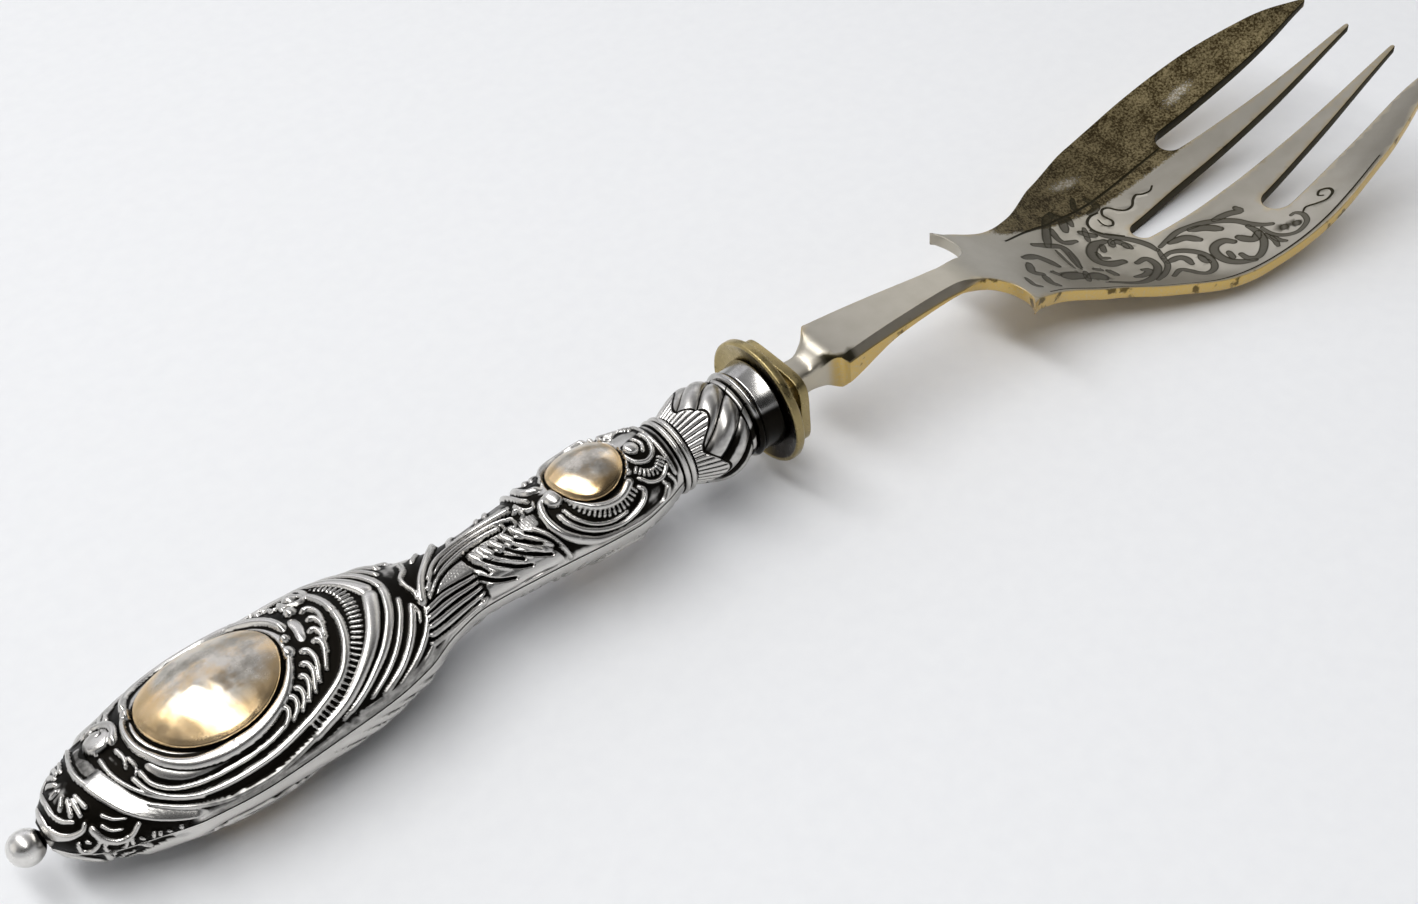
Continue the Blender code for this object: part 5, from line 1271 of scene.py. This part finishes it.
# %% Engraved scrolls
LEAF_TONE, LINE_TONE = 0.74, 0.97
LEAF_DEPTH, LINE_DEPTH = 0.07, 0.1
LEAVES = (
    # Big volute in the middle of the palm, and the lobes inside it
    (0.74, ((75.1, 1.7), (72.5, 1.7), (69.9, -0.1), (68.9, -2.5), (70.2, -4.2), (72.9, -4.8))),
    (0.44, ((73.7, 1.0), (72.4, -0.7))),
    (0.49, ((76.3, 1.3), (75.1, -0.2))),
    (0.44, ((77.4, -0.7), (77.0, -1.9))),
    (0.34, ((70.9, -0.3), (70.4, -2.0), (71.6, -2.7))),
    (0.50, ((75.8, 5.3), (76.6, 2.9), (78.3, 1.0), (79.8, -1.2), (80.6, -3.5), (80.6, -5.5))),
    (0.55, ((76.0, 0.5), (76.9, 0.4), (77.5, -1.2), (77.5, -2.3))),
    # Leaf that turns back under the volute
    (0.55, ((74.5, -6.4), (76.8, -6.2), (77.2, -7.7), (76.2, -9.6), (73.2, -11.5), (70.4, -12.2), (67.7, -11.9),
            (64.3, -9.8))),
    (0.50, ((70.3, -9.9), (71.4, -10.2), (72.8, -10.1), (74.3, -9.3), (73.4, -8.7))),
    # Fan of leaves where the palm leaves the shank: the upper spray
    (0.60, ((63.7, -3.0), (65.8, 1.2), (66.2, 3.7), (63.8, 4.7), (61.3, 5.6))),
    (0.60, ((63.8, 4.5), (67.0, 8.0), (70.2, 11.0), (72.5, 12.2))),
    (0.50, ((69.0, 8.7), (67.9, 6.3), (68.1, 4.6), (70.5, 4.2))),
    (0.64, ((72.3, 11.9), (73.0, 10.2), (71.2, 7.4))),
    (0.44, ((73.2, 9.9), (74.6, 10.2), (73.6, 8.1))),
    (0.40, ((79.7, 13.8), (78.0, 11.9), (77.8, 10.4))),
    (0.60, ((73.4, 5.9), (74.1, 4.7), (75.0, 3.9))),
    (0.40, ((75.0, 6.5), (73.5, 4.5), (72.6, 3.1))),
    # and the lower one, with the stems that tie them together
    (0.64, ((55.5, 2.1), (58.2, 2.1), (59.3, 0.4), (59.8, -1.6))),
    (0.58, ((54.6, 0.1), (52.6, -2.6), (54.1, -3.5))),
    (0.54, ((53.8, -4.2), (52.9, -6.5), (53.4, -7.9))),
    (0.40, ((49.1, -4.6), (48.6, -6.9), (49.5, -7.6))),
    (0.44, ((56.8, -3.2), (57.3, -4.4))),
    (0.26, ((64.2, 3.0), (63.2, 0.0), (62.4, -3.1))),
    (0.26, ((66.2, 1.6), (64.7, -1.3), (63.3, -3.8))),
    (1.05, ((58.0, -5.2), (59.7, -5.3), (61.4, -5.6))),
    (1.00, ((62.6, -6.8), (64.5, -6.8), (64.2, -7.9))),
    (0.49, ((67.8, -5.8), (68.0, -7.7))),
    (0.40, ((65.7, -4.5), (66.9, -5.2))),
    (0.44, ((63.2, -4.8), (60.8, -7.8))),
    (0.24, ((63.3, -9.5), (65.4, -10.5), (67.8, -12.3))),
    # Second scroll towards the near tine
    (0.45, ((79.6, -7.8), (81.6, -7.6), (83.4, -8.7), (84.7, -10.7), (85.0, -12.9), (84.0, -15.2), (82.5, -16.5),
            (80.8, -16.6), (79.9, -15.5), (79.5, -13.9), (78.6, -12.5), (75.8, -13.5))),
    (0.50, ((79.2, -9.3), (81.4, -9.6), (82.1, -10.8), (81.6, -12.5))),
    (0.50, ((84.3, -12.0), (83.8, -13.3), (83.8, -14.3))),
    (0.40, ((80.8, -5.6), (79.6, -7.8), (78.4, -9.9), (75.7, -11.7), (72.2, -13.1))),
    # Third scroll, with its long upper leaf
    (0.45, ((81.7, -5.3), (84.1, -4.9), (86.8, -4.7), (89.2, -5.4), (91.5, -6.5), (93.5, -8.3), (95.1, -10.5),
            (95.8, -12.9), (96.7, -14.8), (97.7, -16.1))),
    (0.60, ((88.6, -5.9), (90.6, -7.5), (92.0, -9.8))),
    (0.55, ((83.7, -5.7), (86.4, -6.7), (87.7, -9.0))),
    (0.50, ((93.1, -7.3), (95.7, -8.2), (97.5, -9.3), (97.6, -8.1))),
    (0.50, ((95.2, -13.0), (94.8, -15.5), (93.5, -17.8), (91.1, -19.6), (89.0, -20.2), (88.1, -19.0), (88.5, -17.2))),
    (0.60, ((92.0, -13.6), (92.3, -15.0), (93.1, -16.3), (94.8, -15.5))),
    (0.60, ((90.6, -13.9), (89.9, -12.4), (88.2, -12.0), (86.8, -12.9), (86.0, -14.8), (85.9, -17.0), (86.7, -18.9),
            (88.1, -20.4))),
    (0.40, ((87.9, -15.0), (87.0, -16.9))),
    (0.35, ((96.0, -15.3), (95.5, -17.9), (96.1, -20.0), (97.5, -21.3), (99.3, -21.3), (100.9, -20.6), (102.0, -18.9),
            (101.8, -17.5), (101.0, -17.3))),
    (0.35, ((95.0, -17.0), (94.3, -19.3), (93.1, -21.1))),
    (0.35, ((95.0, -18.2), (94.6, -20.2), (94.8, -21.3))),
    (0.60, ((97.8, -18.3), (98.0, -18.5))),
    (0.60, ((99.5, -19.5), (99.7, -19.7))),
)
LINES = (
    (0.22, ((92.8, 6.8), (91.6, 6.2), (90.2, 6.6), (89.2, 7.3), (87.9, 6.8), (86.6, 5.8), (85.1, 5.8), (84.0, 6.9),
            (83.2, 8.4), (82.0, 8.7), (81.0, 7.7), (81.0, 6.6), (81.1, 5.4), (80.3, 4.5), (79.4, 4.8), (79.0, 5.9),
            (79.3, 7.1))),
    (0.24, ((80.8, 8.6), (78.8, 8.6), (76.9, 7.5), (76.1, 5.8), (76.5, 4.1), (77.9, 2.5), (79.4, 1.0))),
    (0.22, ((102.5, -18.5), (103.8, -18.1), (105.1, -19.1), (106.6, -20.1), (108.3, -19.8), (109.0, -18.5),
            (108.2, -17.4), (107.0, -17.9), (107.2, -18.8))),
    # Border of the matted far side, and the line along the near edge
    (0.22, ((56.5, 7.6), (62.0, 9.0), (70.0, 10.2), (80.0, 11.2), (92.0, 12.0), (102.6, 12.4))),
    (0.17, ((49.5, -9.7), (54.0, -9.6), (61.5, -11.8), (67.0, -14.4), (73.0, -17.4), (80.0, -20.3), (87.0, -22.2),
            (94.0, -23.1), (101.5, -23.3), (110.0, -22.6), (117.5, -21.6))),
)
print("leaves", len(LEAVES), "and lines", len(LINES))

# %% [markdown]
# The tool enters and leaves each stroke at less than its full width. A point in the plan is as deep and as dark as
# the nearest stroke makes it, and darkest along the stroke's walls. One leaf well out on the near side is repeated on
# the far side, where it shows through the matting.

# %% Cuts of the tool
REPEAT_FROM, REPEAT_NEAREST, REPEAT_FARTHEST = 78.5, 8.5, 14.0
SCROLL_STEP, LEAF_WIDENING, LINE_WIDENING = 0.32, 1.5, 1.2
END_WIDTH, END_PARTS = 0.7, 5
FLOOR_EDGE, FLOOR_SLOPE, WALL, WALL_WIDTH, DARK_EDGE, DARK_SOFT = 1.05, 0.5, 0.8, 0.28, 1.1, 0.22


def mirrored(strokes):
    """The strokes that are repeated, turned over to the far side."""
    return tuple((width, tuple((x, -y) for x, y in points)) for width, points in strokes
                 if min(x for x, y in points) > REPEAT_FROM
                 and all(REPEAT_NEAREST < -y < REPEAT_FARTHEST for x, y in points))


scrolls = [(width * LEAF_WIDENING, LEAF_DEPTH, LEAF_TONE, points) for width, points in LEAVES + mirrored(LEAVES)]
scrolls += [(width * LINE_WIDENING, LINE_DEPTH, LINE_TONE, points) for width, points in LINES]
drawn = []
for half_width, depth, tone, points in scrolls:
    path = smooth_path(points, SCROLL_STEP)
    part = np.linspace(0.0, 1.0, len(path))
    widths = half_width * (END_WIDTH + (1 - END_WIDTH) * smooth_step(np.minimum(part, 1 - part) * END_PARTS))
    drawn.append((path, widths, depth, tone))
print("engraved strokes", len(drawn), "with", sum(len(row[0]) for row in drawn), "cuts of the tool")


def engraved(places):
    """Depth and darkness of the engraving at places in the plan."""
    depths, darkness = np.zeros(len(places)), np.zeros(len(places))
    for path, widths, depth, tone in drawn:
        margin = widths.max() * 1.2
        low, high = path.min(axis=0) - margin, path.max(axis=0) + margin
        near = np.nonzero(((places > low) & (places < high)).all(axis=1))[0]
        if len(near) == 0:
            continue
        gaps = np.linalg.norm(places[near, None] - path[None], axis=2) / widths
        share = gaps.min(axis=1)
        depths[near] = np.maximum(depths[near], depth * smooth_step((FLOOR_EDGE - share) / FLOOR_SLOPE))
        wall = smooth_step(1 - np.abs(share - WALL) / WALL_WIDTH)
        dark = (tone + (1 - tone) * wall) * smooth_step((DARK_EDGE - share) / DARK_SOFT)
        darkness[near] = np.maximum(darkness[near], dark)
    return depths, darkness


# %% [markdown]
# The mesh is built as the smith worked: the flat outline, an edge, then a top and an under side. The edge is rounded
# on the palm and filed to a flat bevel along the shank, so it is a few loops that step in from the outline.

# %% Edge of the fork
EDGE_ROUNDING, SHANK_BEVEL, NECK_ROUNDING, TANG_BEVEL = 0.22, 1.2, 1.1, 0.3
EDGE_STEPS = 5
SHANK_RISE, SHANK_FALL = 1.0, 7.2
NECK_END, NECK_SOFT = 9.4, 2.0
RUBBED_END, RUBBED_SOFT = 9.0, 1.5
# Gold left on the edge's under half, and lost from its top half, the shank and the neck
UNDER_GILT, TOP_LOSS, SHANK_LOSS, NECK_LOSS = 0.9, 0.7, 0.8, 0.9
FAR_EAR_REACH = (38.0, 1.0, 47.0, 1.0)

sides = np.roll(outline, -1, axis=0) - np.roll(outline, 1, axis=0)
inward = np.column_stack((sides[:, 1], -sides[:, 0])) / np.linalg.norm(sides, axis=1)[:, None]
x, y = outline.T
# 1 along the faceted shank, fading to 0 at its ends
share = between(x, SHANK_FORM[0][0] - SHANK_RISE, SHANK_RISE, EAR[2][0], SHANK_FALL)
neck = NECK_ROUNDING * smooth_step((NECK_END - x) / NECK_SOFT) * (x > -TANG_STEP / 2)
bevel = np.maximum(np.maximum(EDGE_ROUNDING, SHANK_BEVEL * share), neck)
bevel = np.where(x < -TANG_STEP / 2, TANG_BEVEL, bevel)
roundness = 1 - share
# The back edge of the far ear is rubbed to bare silver, and so is most of the neck
far_ear = smooth_step(y - 3.0) * between(x, *FAR_EAR_REACH)
rubbed_neck = NECK_LOSS * smooth_step((RUBBED_END - x) / RUBBED_SOFT)
level_points, level_gilt = [], []
for top in (False, True):
    for step in range(EDGE_STEPS + 1):
        t = step / EDGE_STEPS
        quarter = t * math.pi / 2
        inset = bevel * ((1 - roundness) * t + roundness * (1 - math.cos(quarter)))
        drop = bevel * ((1 - roundness) * (1 - t) + roundness * (1 - math.sin(quarter)))
        edge_part = np.minimum(inset, EDGE_ROUNDING)
        moved = outline + inward * edge_part[:, None]
        moved[:, 1] -= np.sign(y) * (inset - edge_part)
        height = fork_height(moved[:, 0], moved[:, 1], top) + (-drop if top else drop)
        level_points.append(np.column_stack((moved, height)))
        kept_gilt = (1 - TOP_LOSS * t) * (1 - SHANK_LOSS * share * (t > 0)) if top else UNDER_GILT
        level_gilt.append((1 - far_ear) * (1 - rubbed_neck) * kept_gilt)
# From the under side's border, out and up over the edge, to the top's border
order = list(range(EDGE_STEPS, -1, -1)) + list(range(EDGE_STEPS + 1, 2 * EDGE_STEPS + 2))
loops = [level_points[i] for i in order]
print("edge of", len(loops), "loops, bevelled by up to", round(float(bevel.max()), 2), "mm")

# %% [markdown]
# The far side of the palm and its tine were matted with a punch, and have been rubbed through in two places. The walls
# of the slots are darkened, and the near corner where the neck runs into the shank is darkened with a painted dark
# reflection.

# %% Matting, dark slot walls and painted shade on the fork
MATT_FROM, MATT_SOFT, MATT_START, MATT_RISE = 8.6, 1.4, 52.0, 8.0
# Middle, half length, half width and strength of each rubbed place
MATT_RUBBED, RUBBED_EDGE = ((80.8, 17.2, 5.0, 1.5, 0.52), (111.4, 18.2, 5.0, 1.5, 0.46)), 1.3
# How dark the walls of the slots are, and how strong the painted dark reflection in the neck's near corner is
SLOT_DARKENING, CORNER_PAINTED_REFLECTION = 0.97, 0.97
SLOT_MARGIN, SLOT_FROM, SLOT_RISE = 0.6, 78.0, 4.0
CORNER_REACH = (6.4, 1.2, 12.8, 1.6)


def matted_share(x, y):
    """1 on the matted far side of the palm and its tine, less where it is rubbed through."""
    share = smooth_step((y - MATT_FROM) / MATT_SOFT) * smooth_step((x - MATT_START) / MATT_RISE)
    for middle_x, middle_y, half_length, half_width, wear in MATT_RUBBED:
        away = np.hypot((x - middle_x) / half_length, (y - middle_y) / half_width)
        share = share * (1 - wear * smooth_step(RUBBED_EDGE - away))
    return share


from_side = smooth_line(PALM_FORM, x) - SLOT_MARGIN - np.abs(y)
# The walls of the slots are darkened
in_slot = smooth_step(from_side / SLOT_MARGIN) * smooth_step((x - SLOT_FROM) / SLOT_RISE)
# Painted dark reflection in the near corner where the neck runs into the shank
in_corner = between(x, *CORNER_REACH) * (y < 0)
edge_cut_and_shade = [np.maximum(SLOT_DARKENING * in_slot * (i < len(loops) - 2), CORNER_PAINTED_REFLECTION * in_corner * (i > EDGE_STEPS + 1))
            for i in range(len(loops))]
edge_matt = [matted_share(row[:, 0], row[:, 1]) * (i > EDGE_STEPS) for i, row in enumerate(loops)]
print("matted part of the edge", round(float(np.mean(edge_matt)), 3))

# %% [markdown]
# The top and the under side are filled with triangles by a constrained Delaunay triangulation, which takes a border,
# loose points inside it and lines that have to be sides of triangles.

# %% Filling an outline
TOP_SPACING, UNDER_SPACING, INSIDE_MARGIN = 1.1, 2.2, 0.16


def inside(places, polygon):
    """Which places lie inside a closed polygon."""
    x, y = places.T
    result = np.zeros(len(places), dtype=bool)
    for (x0, y0), (x1, y1) in zip(polygon, np.roll(polygon, -1, axis=0)):
        crossing = (y0 > y) != (y1 > y)
        if y1 != y0:
            result ^= crossing & (x < (x1 - x0) * (y - y0) / (y1 - y0) + x0)
    return result


def clear_of(places, polygon, margin):
    """Which places keep a margin from a polygon's corners and sides."""
    keep = np.ones(len(places), dtype=bool)
    for start, end in zip(polygon, np.roll(polygon, -1, axis=0)):
        low, high = np.minimum(start, end) - margin, np.maximum(start, end) + margin
        near = np.nonzero(((places > low) & (places < high)).all(axis=1))[0]
        if len(near):
            side = end - start
            t = np.clip((places[near] - start) @ side / max(side @ side, 1e-12), 0.0, 1.0)
            keep[near[np.linalg.norm(places[near] - start - t[:, None] * side, axis=1) < margin]] = False
    return keep


def filled(border, extra, creases):
    """Triangles that fill a border, with extra points and creases inside it; the border's points come first."""
    kept = inside(extra, border)
    kept[kept] = clear_of(extra[kept], border, INSIDE_MARGIN)
    places = np.vstack((border, extra[kept]))
    edges = [(i, (i + 1) % len(border)) for i in range(len(border))]
    new_index = len(border) + np.cumsum(kept) - 1
    edges += [(int(new_index[a]), int(new_index[b])) for a, b in creases if kept[a] and kept[b]]
    corners, _, triangles, sources, _, _ = delaunay_2d_cdt([Vector(p) for p in places], edges, [], 1, 1e-6)
    order = np.array([source[0] if source else -1 for source in sources])
    found = np.array([tuple(corner) for corner in corners])
    return found, order, triangles


def grid_points(spacing):
    """Points on a staggered grid over the whole plan."""
    low, high = outline.min(axis=0), outline.max(axis=0)
    rows = []
    for i, x in enumerate(np.arange(max(low[0], 0.5), high[0], spacing)):
        y = np.arange(low[1] + (i % 2) * spacing / 2, high[1], spacing)
        rows.append(np.column_stack((np.full(len(y), x), y)))
    return np.vstack(rows)


# %% [markdown]
# Rows of points follow every engraved stroke, so that each cut has its own floor and walls, and half rings of points
# close its ends, so that a leaf stops as cleanly as it runs. Plain ground between the strokes gets the loose grid.

# %% Points along the engraving
# Rows across a stroke, in parts of its half width
ACROSS, END_STEPS = (0.0, -0.55, 0.55, -0.86, 0.86, -1.1, 1.1), 9
tool_points, tool_creases = [], []
for path, widths, depth, tone in drawn:
    direction = np.gradient(path, axis=0)
    direction /= np.linalg.norm(direction, axis=1)[:, None] + 1e-9
    normal = np.column_stack((-direction[:, 1], direction[:, 0]))
    for reach in ACROSS:
        first = sum(len(row) for row in tool_points)
        tool_points.append(path + normal * (widths * reach)[:, None])
        tool_creases += [(first + i, first + i + 1) for i in range(len(path) - 1)]
    for end, sign in ((0, -1), (-1, 1)):
        for reach in ACROSS[-3::2]:
            first = sum(len(row) for row in tool_points)
            turn = np.radians(np.linspace(-90, 90, END_STEPS))[1:-1, None]
            ring = sign * direction[end] * np.cos(turn) + normal[end] * np.sin(turn)
            tool_points.append(path[end] + ring * widths[end] * reach)
            tool_creases += [(first + i, first + i + 1) for i in range(END_STEPS - 3)]
tool_points = np.vstack(tool_points)
ground = grid_points(TOP_SPACING)
top_extra = np.vstack((tool_points, ground[engraved(ground)[1] == 0]))
print("points on the strokes", len(tool_points), "and between them", len(top_extra) - len(tool_points))

# %% [markdown]
# Last the three parts are joined. The faces of the edge come first; a filled side shares its border with the edge's
# first or last loop, and the points inside it are new.

# %% Fork
BELOW_GILT = 0.85
TINE_GREYING, GREYING_FROM, GREYING_RISE, GREYING_SIDE, GREYING_SOFT = 0.34, 104.0, 16.0, 11.0, 2.0
count = len(outline)
faces = loop_faces(len(loops), count)[:-2]
points, gilt_marks = [np.vstack(loops)], [np.concatenate([level_gilt[i] for i in order])]
cut_and_shade_marks, matt_marks = [np.concatenate(edge_cut_and_shade)], [np.concatenate(edge_matt)]
for top, border_row, extra, creases in ((False, 0, grid_points(UNDER_SPACING), []),
                                        (True, len(loops) - 1, top_extra, tool_creases)):
    border = loops[border_row][:, :2]
    found, sources, triangles = filled(border, extra, creases)
    base = sum(len(block) for block in points)
    on_border = (sources >= 0) & (sources < count)
    index = np.where(on_border, border_row * count + sources, 0)
    index[~on_border] = base + np.arange(int((~on_border).sum()))
    free = found[~on_border]
    height = fork_height(free[:, 0], free[:, 1], top)
    dark = np.zeros(len(free))
    if top:
        depth, dark = engraved(free)
        height = height - depth
        # The near tine is darkened to grey towards its point
        towards_point = smooth_step((free[:, 0] - GREYING_FROM) / GREYING_RISE)
        dark = np.maximum(dark, TINE_GREYING * towards_point * smooth_step((-GREYING_SIDE - free[:, 1]) / GREYING_SOFT))
    points.append(np.column_stack((free, height)))
    gilt_marks.append(np.full(len(free), 0.0 if top else BELOW_GILT))
    cut_and_shade_marks.append(dark)
    matt_marks.append(matted_share(free[:, 0], free[:, 1]) * top)
    faces += [[int(index[corner]) for corner in triangle] for triangle in triangles]
    print("top" if top else "under side", "has", len(triangles), "triangles")
points = np.vstack(points) + np.array((FORK_START, 0.0, 0.0))
make_piece("dressed_fork", points, faces, worn_gilt, "fork",
           {"gilt": np.concatenate(gilt_marks), "cut_and_shade": np.concatenate(cut_and_shade_marks),
            "matt": np.concatenate(matt_marks)}, crease=30)

# %% [markdown]
# Inside the shells is pitch: a cast mixture of resin, pitch and brick dust that keeps the thin silver from
# denting. It shows only as a dark line in the seams and under the cartouches, so its solid stays as it is and
# gets its finish here.

# %% Cast pitch
PITCH_BROWN = to_linear("#241A12")
PITCH_BLACK = to_linear("#100C09")

pitch, tree, shader, place = start_material("pitch and resin, cast")
dust = add_node(tree, "ShaderNodeTexNoise", {"Vector": place, "Scale": pattern_scale(0.8), "Detail": 6.0})
colour = add_node(tree, "ShaderNodeMix", {
    FACTOR: dust.outputs["Fac"], COLOUR_A: PITCH_BROWN, COLOUR_B: PITCH_BLACK}, data_type="RGBA")
gloss = add_node(tree, "ShaderNodeMapRange", {"Value": dust.outputs["Fac"], "To Min": 0.55, "To Max": 0.85})
bump = add_node(tree, "ShaderNodeBump", {"Height": dust.outputs["Fac"], "Strength": 0.4, "Distance": 0.1 * MM})
set_inputs(tree, shader, {"Base Color": colour.outputs[COLOUR_OUT], "Roughness": gloss.outputs[0],
                          "Normal": bump.outputs[0]})
filler = frame["nodes"]["handle_filler"]
filler.data.materials.clear()
filler.data.materials.append(pitch)
print("made", pitch.name)

# %% [markdown]
# The fork lies on a sheet of pale paper that curves up all round, as in a small product studio.

# %% Paper
PAPER_WHITE = to_linear("#ECEDEE")
PAPER_SHADE = to_linear("#E6E7E9")
FLAT_RADIUS, SWEEP_RADIUS, WALL_HEIGHT = 1.0, 0.3, 0.62
PAPER_STEPS, SWEEP_STEPS = 96, 13

paper, tree, shader, place = start_material("matt paper")
fibres = add_node(tree, "ShaderNodeTexNoise", {"Vector": place, "Scale": pattern_scale(3.0), "Detail": 4.0})
colour = add_node(tree, "ShaderNodeMix", {
    FACTOR: fibres.outputs["Fac"], COLOUR_A: PAPER_WHITE, COLOUR_B: PAPER_SHADE}, data_type="RGBA")
set_inputs(tree, shader, {"Base Color": colour.outputs[COLOUR_OUT], "Roughness": 0.9, "Specular IOR Level": 0.2})
profile = [(0.002, 0.0), (FLAT_RADIUS / 2, 0.0), (FLAT_RADIUS, 0.0)]
profile += [(FLAT_RADIUS + SWEEP_RADIUS * math.sin(q), SWEEP_RADIUS * (1 - math.cos(q)))
            for q in np.linspace(0.0, math.pi / 2, SWEEP_STEPS)[1:]]
profile.append((FLAT_RADIUS + SWEEP_RADIUS, WALL_HEIGHT))
turns = np.linspace(0.0, 2 * math.pi, PAPER_STEPS, endpoint=False)
mesh = bpy.data.meshes.new("paper_sweep")
mesh.from_pydata([(r * math.cos(q), r * math.sin(q), z) for r, z in profile for q in turns], [],
                 loop_faces(len(profile), PAPER_STEPS)[:-2] + [list(range(PAPER_STEPS))[::-1]])
mesh.flip_normals()
mesh.shade_smooth()
mesh.materials.append(paper)
floor = bpy.data.objects.new("paper_sweep", mesh)
bpy.context.scene.collection.objects.link(floor)
print("paper sweep", 2 * FLAT_RADIUS, "m across its flat")

# %% [markdown]
# Polished metal shows its surroundings, so the light is arranged for what the metal should see. A long softbox
# hangs over the handle and draws the white highlights; three large dim panels stand on the far side, to the right
# and to the left for the greys of the flat tops; the rest of the room is left low, which gives the silver its darks.

# %% Light
scene = bpy.context.scene
ROOM_WHITE = to_linear("#FBFBFF")
NEAR_LEVEL, FAR_LEVEL, NEAR_BEARING, FAR_BEARING = 0.03, 0.34, -0.55, 0.25
world = bpy.data.worlds.new("dim room")
scene.world = world
world.use_nodes = True
background = world.node_tree.nodes["Background"]
# Dark behind the photographer, lighter towards the far side and overhead
bearing = add_node(world.node_tree, "ShaderNodeTexCoord").outputs["Generated"]
towards = add_node(world.node_tree, "ShaderNodeSeparateXYZ", {"Vector": bearing})
level = add_node(world.node_tree, "ShaderNodeMapRange", {
    "Value": towards.outputs["Y"], "From Min": NEAR_BEARING, "From Max": FAR_BEARING, "To Min": NEAR_LEVEL,
    "To Max": FAR_LEVEL})
set_inputs(world.node_tree, background, {"Color": ROOM_WHITE, "Strength": level.outputs[0]})


def softbox(name, place, aim, width, height, radiance, colour, spin=0.0):
    """Rectangular lamp that looks equally bright all over, spun about its own axis."""
    light = bpy.data.lights.new(name, "AREA")
    light.shape = "RECTANGLE"
    light.size, light.size_y = width, height
    light.energy = radiance * math.pi * width * height
    light.color = to_linear(colour)[:3]
    lamp = bpy.data.objects.new(name, light)
    lamp.location = place
    lamp.rotation_euler = (Vector(aim) - Vector(place)).to_track_quat("-Z", "Y").to_euler()
    lamp.rotation_euler.rotate_axis("Z", math.radians(spin))
    scene.collection.objects.link(lamp)


softbox("key softbox", (-0.195, 0.14, 0.92), (-0.195, 0.139, 0.0), 0.2, 1.4, 9.2, "#FFFFFF", spin=10)
softbox("far panel", (0.25, 0.95, 0.66), (0.0, 0.0, 0.05), 1.7, 0.6, 0.6, "#F6F7FF")
softbox("right panel", (1.0, 0.35, 0.66), (0.0, 0.0, 0.05), 1.1, 0.6, 0.55, "#FFFDF6")
softbox("left panel", (-1.0, 0.25, 0.6), (-0.1, 0.0, 0.02), 0.8, 0.6, 0.7, "#FFFBF4")
bpy.context.view_layer.update()
for item in scene.objects:
    if item.type == "LIGHT":
        print(item.name, "runs along", [round(v, 2) for v in item.matrix_world.col[1][:3]])

# %% [markdown]
# The camera stands where the photographer stood: low over the butt of the handle, looking along the fork, with the
# tips of the tines at the top right corner of the frame.

# %% Camera
CAMERA_PLACE = Vector((-129.97, -156.33, 192.12)) * MM
CAMERA_AIM = Vector((-16.77, 7.34, 0.0)) * MM
CAMERA_ROLL = math.radians(-4.27)
IMAGE_WIDTH, FOCAL_PIXELS, SENSOR = 1418, 1738.6, 36.0

camera = bpy.data.cameras.new("camera")
camera.sensor_width = SENSOR
camera.lens = SENSOR * FOCAL_PIXELS / IMAGE_WIDTH
camera.clip_start = 0.005
camera_object = bpy.data.objects.new("camera", camera)
forward = (CAMERA_AIM - CAMERA_PLACE).normalized()
level_right = forward.cross(Vector((0.0, 0.0, 1.0))).normalized()
level_up = level_right.cross(forward)
right = level_right * math.cos(CAMERA_ROLL) + level_up * math.sin(CAMERA_ROLL)
up = level_up * math.cos(CAMERA_ROLL) - level_right * math.sin(CAMERA_ROLL)
camera_object.matrix_world = Matrix.Translation(CAMERA_PLACE) @ Matrix((right, up, -forward)).transposed().to_4x4()
scene.collection.objects.link(camera_object)
scene.camera = camera_object
scene.view_settings.view_transform = "Standard"
print("lens", round(camera.lens, 2), "mm")
